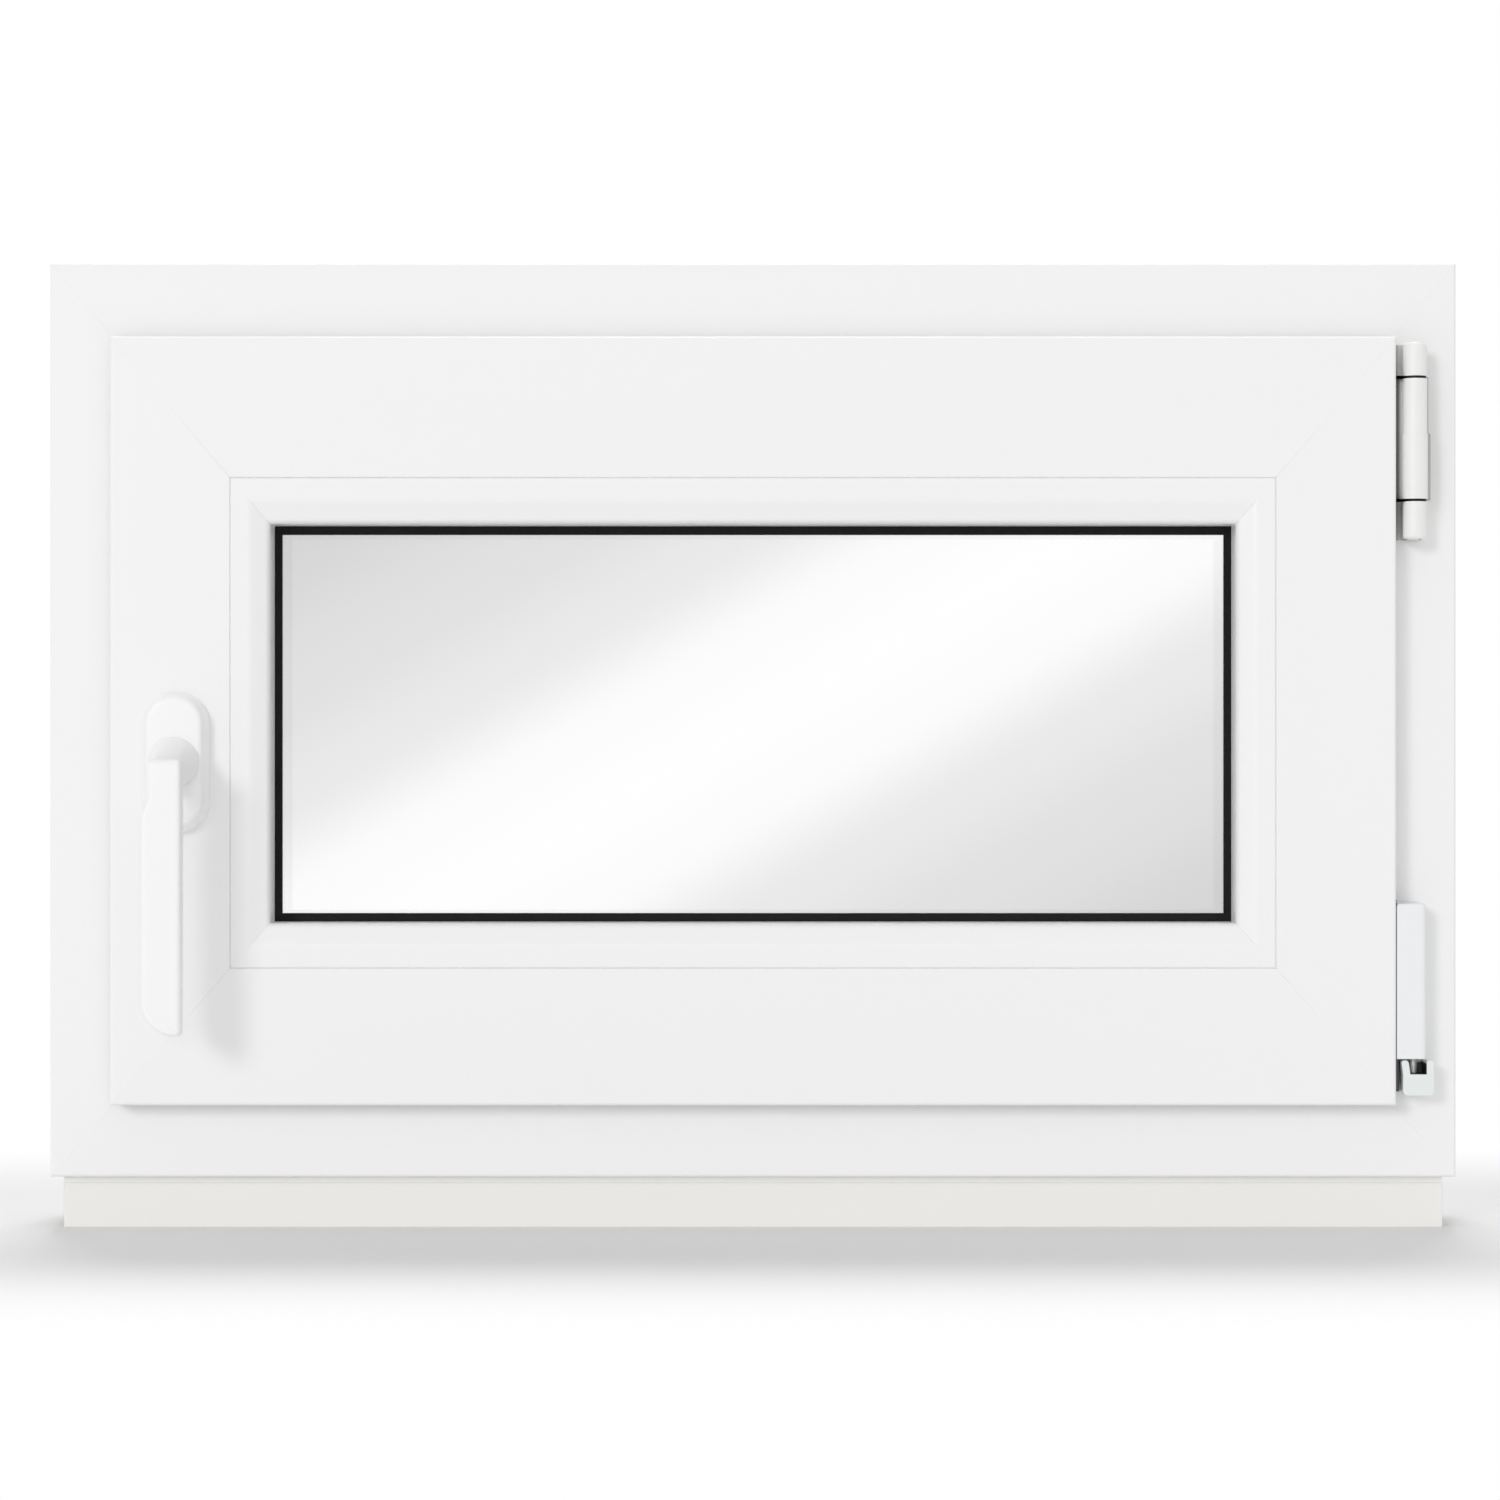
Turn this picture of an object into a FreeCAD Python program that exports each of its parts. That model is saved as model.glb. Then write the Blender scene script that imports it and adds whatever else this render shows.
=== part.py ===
import FreeCAD, Part
import os
import Sketcher

# A small tilt and turn window of white plastic profiles: a fixed frame on a sill profile, a glazed sash
# that stands proud of it on the room side, a lever handle, and two hinges on the right-hand edge.
# Millimetres. X runs to the right as seen from the room, Y runs outdoors, Z runs up.
# The origin is the middle of the sill profile's underside.

SIZES = {
    # fixed frame: the rails are wider than the jambs, so each mitre leans by these ratios
    "frame_width": 600,
    "frame_height": 390,
    "frame_depth": 66,
    "head_ratio": 1.174,
    "foot_ratio": 1.14,
    "stop_overlap": 8,
    "stop_bevel": 4,
    "profile_round": 1.5,
    "edge_round": 0.8,
    "anchor_groove_width": 8,
    "anchor_groove_depth": 3,
    "anchor_groove_inset": 12,
    # sill profile under the frame, an open hollow extrusion
    "sill_width": 590,
    "sill_height": 22,
    "sill_depth": 50,
    "sill_setback": 5,
    "sill_wall": 2.5,
    "sill_neck_height": 3,
    "sill_neck_setback": 4,
    # sash, measured inward from the frame's outer edge and outdoors from its own room face
    "reveal": 28,
    "overlap": 8,
    "hardware_gap": 12,
    "sash_proud": 18,
    "sash_depth": 66,
    "sash_face": 51,
    "sash_leg_bevel": 3,
    # seals between sash and frame
    "sash_seal_thickness": 3,
    "frame_seal_thickness": 3.5,
    "seal_width": 5,
    "seal_inset": 1.5,
    # glazing beads
    "bead_face": 16.5,
    "bead_flat": 8.4,
    "bead_slope_width": 6.6,
    "bead_slope_drop": 3,
    "bead_depth": 22,
    "bead_chamfer": 0.6,
    "bead_round": 4,
    # glazing
    "gasket_face": 3.5,
    "outer_gasket_face": 0.7,
    "gasket_bite": 4,
    "gasket_thickness": 3,
    "glass_thickness": 4,
    "cavity": 16,
    "glass_gap": 5,
    "sealant_width": 4,
    "spacer_width": 7,
    # handle
    "handle_edge": 56.3,
    "handle_drop": 18,
    "rosette_width": 28,
    "rosette_height": 60,
    "rosette_corner": 13.8,
    "rosette_thickness": 10,
    "rosette_taper": 14,
    "spindle_size": 7,
    "spindle_depth": 28,
    "spindle_bore": 12,
    "handle_projection": 48,
    "lever_length": 113,
    "lever_right": 7.7,
    "neck_left": 6,
    "grip_left": 8.8,
    "neck_rise": 9.6,
    "neck_drop": 7.5,
    "neck_corner": 5.5,
    "nose_rise": 1.5,
    "nose_radius": 3,
    "boss_radius": 10.6,
    "boss_end_radius": 3.8,
    "grip_thickness": 12,
    "step_start": 15.4,
    "step_end": 21.6,
    "tip_radius": 14,
    "tip_corner": 2,
    "elbow_inner_radius": 4,
    "running_gap": 0.3,
    # upper hinge, a stay bearing with its barrel beside the sash
    "hinge_edge": 19.5,
    "hinge_standoff": 13,
    "barrel_radius": 5.1,
    "barrel_round": 1.6,
    "sleeve_radius": 5.6,
    "sleeve_web_setback": 1,
    "sleeve_web_thickness": 3,
    "upper_hinge_drop": 35,
    "cap_height": 14.8,
    "sleeve_height": 52.4,
    "knuckle_height": 16.2,
    "pin_reach": 8,
    "hinge_joint": 0.3,
    "hinge_pin_radius": 3,
    "pin_clearance": 0.05,
    "bracket_width": 8,
    # lower hinge, a covered strap over a corner pivot
    "cover_width": 12.8,
    "cover_height": 66,
    "cover_rise": 51.4,
    "cover_depth": 17,
    "cover_bevel": 2,
    "strap_width": 2,
    "strap_depth": 8,
    "strap_drop": 14,
    "pivot_block_left": 5.4,
    "pivot_block_right": 7.6,
    "pivot_block_height": 8.9,
    "pivot_block_depth": 16,
    "pivot_block_round": 2,
    "pivot_gap": 6.5,
    "pivot_ear_width": 3,
    "pivot_ear_height": 5.9,
    "pivot_ear_lean": 0.8,
    "pivot_pin_radius": 1.6,
    # drain caps on the outdoor face
    "drain_cap_length": 42,
    "drain_cap_height": 14,
    "drain_cap_thickness": 5,
    "drain_cap_spacing": 300,
    "drain_cap_rise": 16,
}

# Distances inward from the frame's outer edge, as measured on the jambs and stiles
FRAME_LIP = "(spec.reveal + spec.overlap)"
SASH_BODY = f"({FRAME_LIP} + spec.hardware_gap)"
FRAME_STOP = f"({SASH_BODY} + spec.stop_overlap)"
BEAD_EDGE = "(spec.reveal + spec.sash_face)"
GASKET_EDGE = f"({BEAD_EDGE} + spec.bead_face)"
SIGHT_LINE = f"({GASKET_EDGE} + spec.gasket_face)"
PANE_EDGE = f"({BEAD_EDGE} + spec.glass_gap)"
SPACER_EDGE = f"({PANE_EDGE} + spec.sealant_width)"

# Depths, along Y
FRAME_ROOM = "(-spec.sill_depth / 2 - spec.sill_setback)"
FRAME_OUT = f"({FRAME_ROOM} + spec.frame_depth)"
SASH_ROOM = f"({FRAME_ROOM} - spec.sash_proud)"
SASH_OUT = f"({SASH_ROOM} + spec.sash_depth)"
FLANGE_BACK = f"({FRAME_ROOM} - spec.sash_seal_thickness)"
BEAD_BACK = f"({SASH_ROOM} + spec.bead_depth)"
INNER_PANE_ROOM = f"({BEAD_BACK} + spec.gasket_thickness)"
CAVITY_ROOM = f"({INNER_PANE_ROOM} + spec.glass_thickness)"
CAVITY_OUT = f"({CAVITY_ROOM} + spec.cavity)"
OUTER_PANE_OUT = f"({CAVITY_OUT} + spec.glass_thickness)"
SASH_LEG_ROOM = f"({OUTER_PANE_OUT} + spec.gasket_thickness)"
ROSETTE_ROOM = f"({SASH_ROOM} - spec.rosette_thickness)"

# Places on the front
FRAME_FOOT = "spec.sill_height"
FRAME_TOP = "(spec.sill_height + spec.frame_height)"
FRAME_MIDDLE = "(spec.sill_height + spec.frame_height / 2)"
HANDLE_X = "(-spec.frame_width / 2 + spec.handle_edge)"
HANDLE_Z = f"({FRAME_MIDDLE} - spec.handle_drop)"
SASH_RIGHT = "(spec.frame_width / 2 - spec.reveal)"
HINGE_X = "(spec.frame_width / 2 - spec.hinge_edge)"
HINGE_Y = f"({FRAME_ROOM} - spec.hinge_standoff)"
CAP_TOP = f"({FRAME_TOP} - spec.upper_hinge_drop)"
SLEEVE_TOP = f"({CAP_TOP} - spec.cap_height)"
KNUCKLE_TOP = f"({SLEEVE_TOP} - spec.sleeve_height)"
COVER_FOOT = f"({FRAME_FOOT} + spec.cover_rise)"
PIVOT_TOP = f"({COVER_FOOT} - spec.pivot_gap)"

doc = FreeCAD.newDocument("TiltAndTurnWindow")
sheet = doc.addObject("Spreadsheet::Sheet", "spec")
nodes = []


def fill_sheet():
    """Write every driving size to the sheet, with its name as the alias."""
    for row, (alias, value) in enumerate(SIZES.items(), start=1):
        sheet.set(f"A{row}", alias)
        sheet.set(f"B{row}", str(value))
        sheet.setAlias(f"B{row}", alias)
    doc.recompute()


def value_of(expression):
    """The number that an expression on the sheet gives."""
    return float(sheet.evalExpression(expression.replace("spec.", "")))


def bind(obj, **expressions):
    """Bind properties to expressions; x, y and z are the placement's base."""
    for name, expression in expressions.items():
        path = f"Placement.Base.{name}" if name in "xyz" else name
        obj.setExpression(path, str(expression))


def keep(obj, label):
    """Name a finished sub-part and list it for export."""
    obj.Label = label
    nodes.append(obj)
    return obj


def turned(axis, degrees):
    """A placement at the origin, turned about an axis."""
    return FreeCAD.Placement(FreeCAD.Vector(0, 0, 0), FreeCAD.Rotation(FreeCAD.Vector(*axis), degrees))


# Sketches and features


def new_body(label):
    return keep(doc.addObject("PartDesign::Body", label + "_body"), label)


def sketch_on(body, name, role):
    """A sketch on one of the body's own origin planes."""
    sketch = body.newObject("Sketcher::SketchObject", name)
    plane = [item for item in body.Origin.OriginFeatures if item.Role == role][0]
    sketch.AttachmentSupport = [(plane, "")]
    sketch.MapMode = "FlatFace"
    return sketch


def constrain(sketch, constraint, expression):
    """Add a constraint whose value is bound to an expression."""
    index = sketch.addConstraint(constraint)
    sketch.setExpression(f"Constraints[{index}]", expression)


def add_outline(sketch, points):
    """A closed outline. Each corner is a pair of expressions, and a third one rounds it."""
    corners = [FreeCAD.Vector(value_of(point[0]), value_of(point[1]), 0) for point in points]
    count = len(corners)
    edges = []
    for corner, following in zip(corners, corners[1:] + corners[:1]):
        edges.append(sketch.addGeometry(Part.LineSegment(corner, following), False))
    for i in range(count):
        sketch.addConstraint(Sketcher.Constraint("Coincident", edges[i], 2, edges[(i + 1) % count], 1))
    held = list(edges)
    for i, point in enumerate(points):
        if len(point) == 3:
            arc = sketch.GeometryCount
            sketch.fillet(edges[i], 1, value_of(point[2]), True, True)
            held[i] = arc + 1
            constrain(sketch, Sketcher.Constraint("Radius", arc, value_of(point[2])), point[2])
    for item, corner, point in zip(held, corners, points):
        constrain(sketch, Sketcher.Constraint("DistanceX", -1, 1, item, 1, corner.x), point[0])
        constrain(sketch, Sketcher.Constraint("DistanceY", -1, 1, item, 1, corner.y), point[1])


def add_circle(sketch, across, along, radius):
    """A circle whose centre and radius are expressions."""
    centre = FreeCAD.Vector(value_of(across), value_of(along), 0)
    circle = sketch.addGeometry(Part.Circle(centre, FreeCAD.Vector(0, 0, 1), value_of(radius)), False)
    constrain(sketch, Sketcher.Constraint("DistanceX", -1, 1, circle, 3, centre.x), across)
    constrain(sketch, Sketcher.Constraint("DistanceY", -1, 1, circle, 3, centre.y), along)
    constrain(sketch, Sketcher.Constraint("Radius", circle, value_of(radius)), radius)


def pad(body, sketch, length, symmetric=False):
    feature = body.newObject("PartDesign::Pad", sketch.Name + "_pad")
    feature.Profile = sketch
    if symmetric:
        feature.SideType = "Symmetric"
    bind(feature, Length=length)
    doc.recompute()
    return feature


def cut_through(body, sketch):
    """A pocket through everything, both ways from the sketch."""
    feature = body.newObject("PartDesign::Pocket", sketch.Name + "_cut")
    feature.Profile = sketch
    feature.SideType = "Symmetric"
    feature.Type = "ThroughAll"
    doc.recompute()
    return feature


def full_turn(body, sketch, axis):
    """A full turn of a sketch about its own upright or level axis, V_Axis or H_Axis."""
    feature = body.newObject("PartDesign::Revolution", sketch.Name + "_turned")
    feature.Profile = sketch
    feature.ReferenceAxis = (sketch, [axis])
    feature.Angle = 360
    doc.recompute()
    return feature


def box(name, x, y, z):
    """A box from three pairs of expressions, low and high along each axis."""
    block = doc.addObject("Part::Box", name)
    bind(block, x=x[0], y=y[0], z=z[0])
    bind(block, Length=f"{x[1]} - {x[0]}", Width=f"{y[1]} - {y[0]}", Height=f"{z[1]} - {z[0]}")
    return block


def upright(name, x, y, z, radius):
    """A vertical cylinder between two heights."""
    rod = doc.addObject("Part::Cylinder", name)
    bind(rod, x=x, y=y, z=z[0], Radius=radius, Height=f"{z[1]} - {z[0]}")
    return rod


# Frame, sash and beads: four mitred lengths each


class Side:
    """One side of the window: where its profiles lie and how their ends are mitred."""

    def __init__(self, turn, ratio, length, start_ratio, end_ratio, x, z):
        self.turn = turn
        self.ratio = ratio
        self.length = length
        self.start_ratio = start_ratio
        self.end_ratio = end_ratio
        self.x = x
        self.z = z


LEFT = Side(
    turn=0,
    ratio="1",
    length="spec.frame_height",
    start_ratio="spec.foot_ratio",
    end_ratio="spec.head_ratio",
    x="-spec.frame_width / 2",
    z=FRAME_MIDDLE,
)
RIGHT = Side(
    turn=180,
    ratio="1",
    length="spec.frame_height",
    start_ratio="spec.head_ratio",
    end_ratio="spec.foot_ratio",
    x="spec.frame_width / 2",
    z=FRAME_MIDDLE,
)
TOP = Side(
    turn=90,
    ratio="spec.head_ratio",
    length="spec.frame_width",
    start_ratio="1",
    end_ratio="1",
    x="0",
    z=FRAME_TOP,
)
BOTTOM = Side(
    turn=270,
    ratio="spec.foot_ratio",
    length="spec.frame_width",
    start_ratio="1",
    end_ratio="1",
    x="0",
    z=FRAME_FOOT,
)


def mitred_length(label, side, section, room_face):
    """A profile run along one side, then cut at both ends to meet its neighbours."""
    body = new_body(label)
    profile = sketch_on(body, label + "_section", "XY_Plane")
    add_outline(profile, [(f"{inset} * {side.ratio}", *rest) for inset, *rest in section])
    pad(body, profile, side.length, symmetric=True)
    mitres = sketch_on(body, label + "_mitres", "XZ_Plane")
    far = f"{SIGHT_LINE} * {side.ratio}"
    half = f"{side.length} / 2"
    end_cut = f"{half} - {SIGHT_LINE} * {side.end_ratio}"
    start_cut = f"{SIGHT_LINE} * {side.start_ratio} - {half}"
    add_outline(mitres, [("0", half), (far, end_cut), (far, half)])
    add_outline(mitres, [("0", f"-{half}"), (far, start_cut), (far, f"-{half}")])
    cut_through(body, mitres)
    body.Placement = turned((0, 1, 0), side.turn)
    bind(body, x=side.x, y=room_face, z=side.z)
    return body


def frame_section():
    """The frame profile: a room-side lip, an outdoor stop, and two anchor grooves along its back."""
    stop_room = "(spec.sash_depth - spec.sash_proud + spec.frame_seal_thickness)"
    points = [
        ("0", "0", "spec.profile_round"),
        (FRAME_LIP, "0", "spec.edge_round"),
        (FRAME_LIP, stop_room),
        (FRAME_STOP, stop_room),
        (f"({FRAME_STOP} - spec.stop_bevel)", "spec.frame_depth", "spec.profile_round"),
        ("0", "spec.frame_depth", "spec.profile_round"),
    ]
    far_groove = "(spec.frame_depth - spec.anchor_groove_inset)"
    near_groove = "(spec.anchor_groove_inset + spec.anchor_groove_width)"
    for groove in (far_groove, near_groove):
        points += [
            ("0", groove),
            ("spec.anchor_groove_depth", groove),
            ("spec.anchor_groove_depth", f"{groove} - spec.anchor_groove_width"),
            ("0", f"{groove} - spec.anchor_groove_width"),
        ]
    return points


def sash_section():
    """The sash profile: a room-side flange over the frame, and an outdoor leg that holds the glass."""
    flange = "(spec.sash_proud - spec.sash_seal_thickness)"
    leg_room = "(spec.bead_depth + 2 * spec.gasket_thickness + 2 * spec.glass_thickness + spec.cavity)"
    return [
        ("spec.reveal", "0", "spec.profile_round"),
        (BEAD_EDGE, "0"),
        (BEAD_EDGE, leg_room),
        (GASKET_EDGE, leg_room, "spec.edge_round"),
        (f"({GASKET_EDGE} - spec.sash_leg_bevel)", "spec.sash_depth", "spec.profile_round"),
        (SASH_BODY, "spec.sash_depth"),
        (SASH_BODY, flange),
        ("spec.reveal", flange, "spec.edge_round"),
    ]


def bead_section():
    """The glazing bead: flush with the sash, then a gentle slope and a steep edge down to the glass."""
    flat_end = f"({BEAD_EDGE} + spec.bead_flat)"
    return [
        (BEAD_EDGE, "spec.bead_chamfer"),
        (f"({BEAD_EDGE} + spec.bead_chamfer)", "0"),
        (flat_end, "0", "spec.bead_round"),
        (f"({flat_end} + spec.bead_slope_width)", "spec.bead_slope_drop", "spec.profile_round"),
        (GASKET_EDGE, "spec.bead_depth"),
        (BEAD_EDGE, "spec.bead_depth"),
    ]


def make_profiles():
    """Frame, sash and beads on all four sides; the left stile is bored for the handle's spindle."""
    frame_names = (("left_jamb", LEFT), ("right_jamb", RIGHT), ("head", TOP), ("bottom_rail", BOTTOM))
    for label, side in frame_names:
        mitred_length("frame_" + label, side, frame_section(), FRAME_ROOM)
    sash_names = (("left_stile", LEFT), ("right_stile", RIGHT), ("top_rail", TOP), ("bottom_rail", BOTTOM))
    for label, side in sash_names:
        body = mitred_length("sash_" + label, side, sash_section(), SASH_ROOM)
        if side is LEFT:
            bore = sketch_on(body, "spindle_bore", "XZ_Plane")
            add_circle(bore, "spec.handle_edge", "-spec.handle_drop", "spec.spindle_bore / 2")
            hole = body.newObject("PartDesign::Pocket", "spindle_bore_cut")
            hole.Profile = bore
            bind(hole, Length="spec.spindle_depth + spec.running_gap")
            doc.recompute()
    for label, side in (("left", LEFT), ("right", RIGHT), ("top", TOP), ("bottom", BOTTOM)):
        mitred_length("glazing_bead_" + label, side, bead_section(), SASH_ROOM)


# Seals and glazing: flat rings and panes


def inset_outline(inset):
    """The frame's outline, drawn in by a distance that the rails stretch by their ratios."""
    side = f"(spec.frame_width / 2 - {inset})"
    foot = f"({FRAME_FOOT} + {inset} * spec.foot_ratio)"
    top = f"({FRAME_TOP} - {inset} * spec.head_ratio)"
    return [(f"-{side}", foot), (side, foot), (side, top), (f"-{side}", top)]


def sheet_piece(label, outer, inner, room, out):
    """A flat pane, or a ring when it has an inner inset, between two depths."""
    body = new_body(label)
    outline = sketch_on(body, label + "_outline", "XY_Plane")
    add_outline(outline, inset_outline(outer))
    if inner:
        add_outline(outline, inset_outline(inner))
    pad(body, outline, f"{out} - {room}")
    body.Placement = turned((1, 0, 0), 90)
    bind(body, y=out)
    return body


def make_seals_and_glass():
    seal_start = "(spec.reveal + spec.seal_inset)"
    stop_start = f"({SASH_BODY} + spec.seal_inset)"
    tucked = f"({GASKET_EDGE} - spec.gasket_bite)"
    outer_sight_line = f"({GASKET_EDGE} + spec.outer_gasket_face)"
    spacer_end = f"({SPACER_EDGE} + spec.spacer_width)"
    stop_seal_out = f"({SASH_OUT} + spec.frame_seal_thickness)"
    sheet_piece("sash_seal", seal_start, f"({seal_start} + spec.seal_width)", FLANGE_BACK, FRAME_ROOM)
    sheet_piece("frame_seal", stop_start, f"({stop_start} + spec.seal_width)", SASH_OUT, stop_seal_out)
    sheet_piece("inner_glazing_gasket", tucked, SIGHT_LINE, BEAD_BACK, INNER_PANE_ROOM)
    sheet_piece("inner_glass_pane", PANE_EDGE, None, INNER_PANE_ROOM, CAVITY_ROOM)
    sheet_piece("edge_sealant", PANE_EDGE, SPACER_EDGE, CAVITY_ROOM, CAVITY_OUT)
    sheet_piece("glass_spacer_bar", SPACER_EDGE, spacer_end, CAVITY_ROOM, CAVITY_OUT)
    sheet_piece("outer_glass_pane", PANE_EDGE, None, CAVITY_OUT, OUTER_PANE_OUT)
    sheet_piece("outer_glazing_gasket", tucked, outer_sight_line, OUTER_PANE_OUT, SASH_LEG_ROOM)


# Sill profile


def make_sill_profile():
    """An extrusion with three chambers and a set-back neck under the frame; its ends are open."""
    body = new_body("sill_profile")
    section = sketch_on(body, "sill_section", "YZ_Plane")
    half = "spec.sill_depth / 2"
    shoulder = "(spec.sill_height - spec.sill_neck_height)"
    neck = f"({half} - spec.sill_neck_setback)"
    add_outline(
        section,
        [
            (f"-{half}", "0"),
            (half, "0"),
            (half, shoulder),
            (neck, shoulder),
            (neck, "spec.sill_height"),
            (f"-{neck}", "spec.sill_height"),
            (f"-{neck}", shoulder),
            (f"-{half}", shoulder),
        ],
    )
    chambers = 3
    pitch = f"((spec.sill_depth - spec.sill_wall) / {chambers})"
    floor = "spec.sill_wall"
    ceiling = f"({shoulder} - spec.sill_wall)"
    for chamber in range(chambers):
        near = f"(spec.sill_wall - {half} + {chamber} * {pitch})"
        far = f"({near} + {pitch} - spec.sill_wall)"
        add_outline(section, [(near, floor), (far, floor), (far, ceiling), (near, ceiling)])
    pad(body, section, "spec.sill_width", symmetric=True)


# Handle


def make_rosette():
    """The handle's oblong base on the sash: sides that slope in, and a round hole for the spindle."""
    body = new_body("handle_rosette")
    outline = sketch_on(body, "rosette_outline", "XY_Plane")
    half_width = "spec.rosette_width / 2"
    half_height = "spec.rosette_height / 2"
    corner = "spec.rosette_corner"
    add_outline(
        outline,
        [
            (f"-{half_width}", f"-{half_height}", corner),
            (half_width, f"-{half_height}", corner),
            (half_width, half_height, corner),
            (f"-{half_width}", half_height, corner),
        ],
    )
    plate = pad(body, outline, "spec.rosette_thickness")
    bind(plate, TaperAngle="-spec.rosette_taper")
    hole = sketch_on(body, "rosette_hole", "XY_Plane")
    add_circle(hole, "0", "0", "spec.spindle_bore / 2")
    cut_through(body, hole)
    body.Placement = turned((1, 0, 0), 90)
    bind(body, x=HANDLE_X, y=SASH_ROOM, z=HANDLE_Z)


def make_lever():
    """The cranked lever: a tapering boss, a neck that slopes to a nose, and a grip that hangs at rest."""
    body = new_body("handle_lever")
    side = sketch_on(body, "lever_side", "YZ_Plane")
    base = "-(spec.rosette_thickness + spec.running_gap)"
    front = "-spec.handle_projection"
    back = "-(spec.handle_projection - spec.grip_thickness)"
    rise = "spec.neck_rise"
    foot = "-spec.lever_length"
    add_outline(
        side,
        [
            (base, rise),
            (front, "spec.nose_rise", "spec.nose_radius"),
            (front, foot),
            (back, foot),
            (back, "-spec.neck_drop", "spec.elbow_inner_radius"),
            (base, "-spec.neck_drop"),
        ],
    )
    pad(body, side, "2 * (spec.grip_left + spec.lever_right)", symmetric=True)
    trim = sketch_on(body, "lever_front", "XZ_Plane")
    beyond = "spec.lever_length * 2"
    before = f"-{beyond}"
    add_outline(trim, [(before, before), (beyond, before), (beyond, beyond), (before, beyond)])
    add_outline(
        trim,
        [
            ("-spec.neck_left", rise, "spec.neck_corner"),
            ("spec.lever_right", rise, "spec.neck_corner"),
            ("spec.lever_right", foot, "spec.tip_corner"),
            ("-spec.grip_left", foot, "spec.tip_radius"),
            ("-spec.grip_left", "-spec.step_end"),
            ("-spec.neck_left", "-spec.step_start"),
        ],
    )
    cut_through(body, trim)
    boss = sketch_on(body, "lever_boss", "YZ_Plane")
    add_outline(boss, [(base, "0"), (back, "0"), (back, "spec.boss_end_radius"), (base, "spec.boss_radius")])
    full_turn(body, boss, "H_Axis")
    bind(body, x=HANDLE_X, y=SASH_ROOM, z=HANDLE_Z)


def make_spindle():
    """The square spindle that the lever turns, through the rosette into the sash."""
    half = "spec.spindle_size / 2"
    spindle = box(
        "spindle",
        (f"({HANDLE_X} - {half})", f"({HANDLE_X} + {half})"),
        (f"({ROSETTE_ROOM} - spec.running_gap)", f"({SASH_ROOM} + spec.spindle_depth)"),
        (f"({HANDLE_Z} - {half})", f"({HANDLE_Z} + {half})"),
    )
    keep(spindle, "handle_spindle")


# Hinges


def barrel(label, foot, outline, web=None):
    """A turned barrel on the upper hinge's axis, and a web that joins it to what carries it."""
    body = new_body(label)
    profile = sketch_on(body, label + "_profile", "XZ_Plane")
    add_outline(profile, outline)
    full_turn(body, profile, "V_Axis")
    if web:
        left, right, near, far, height = web
        plan = sketch_on(body, label + "_web", "XY_Plane")
        add_outline(plan, [(left, near), (right, near), (right, far), (left, far)])
        pad(body, plan, height)
    bind(body, x=HINGE_X, y=HINGE_Y, z=foot)


def make_upper_hinge():
    """Knuckle on the frame, sleeve on the sash's stay arm, cap above, and one steel pin through them."""
    bore = "(spec.hinge_pin_radius + spec.pin_clearance)"
    radius = "spec.barrel_radius"
    inside = f"(({bore} + {radius}) / 2)"
    knuckle_height = "spec.knuckle_height"
    pocket_foot = f"({knuckle_height} - spec.pin_reach)"
    half_web = "spec.bracket_width / 2"
    barrel(
        "upper_hinge_bracket",
        f"({KNUCKLE_TOP} - {knuckle_height})",
        [
            ("0", "0"),
            (radius, "0", "spec.barrel_round"),
            (radius, knuckle_height),
            (bore, knuckle_height),
            (bore, pocket_foot),
            ("0", pocket_foot),
        ],
        web=(f"-{half_web}", half_web, inside, "spec.hinge_standoff", knuckle_height),
    )
    sleeve_height = "(spec.sleeve_height - 2 * spec.hinge_joint)"
    web_room = "spec.sleeve_web_setback"
    web_out = "(spec.sleeve_web_setback + spec.sleeve_web_thickness)"
    barrel(
        "upper_hinge_sleeve",
        f"({KNUCKLE_TOP} + spec.hinge_joint)",
        [
            (bore, "0"),
            ("spec.sleeve_radius", "0"),
            ("spec.sleeve_radius", sleeve_height),
            (bore, sleeve_height),
        ],
        web=(f"({SASH_RIGHT} - {HINGE_X})", f"-{inside}", web_room, web_out, sleeve_height),
    )
    barrel(
        "upper_hinge_cap",
        SLEEVE_TOP,
        [
            (bore, "0"),
            (radius, "0"),
            (radius, "spec.cap_height", "spec.barrel_round"),
            ("0", "spec.cap_height"),
            ("0", "spec.pin_reach"),
            (bore, "spec.pin_reach"),
        ],
    )
    pin_span = (f"({KNUCKLE_TOP} - spec.pin_reach)", f"({SLEEVE_TOP} + spec.pin_reach)")
    keep(upright("hinge_pin", HINGE_X, HINGE_Y, pin_span, "spec.hinge_pin_radius"), "upper_hinge_pin")


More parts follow.
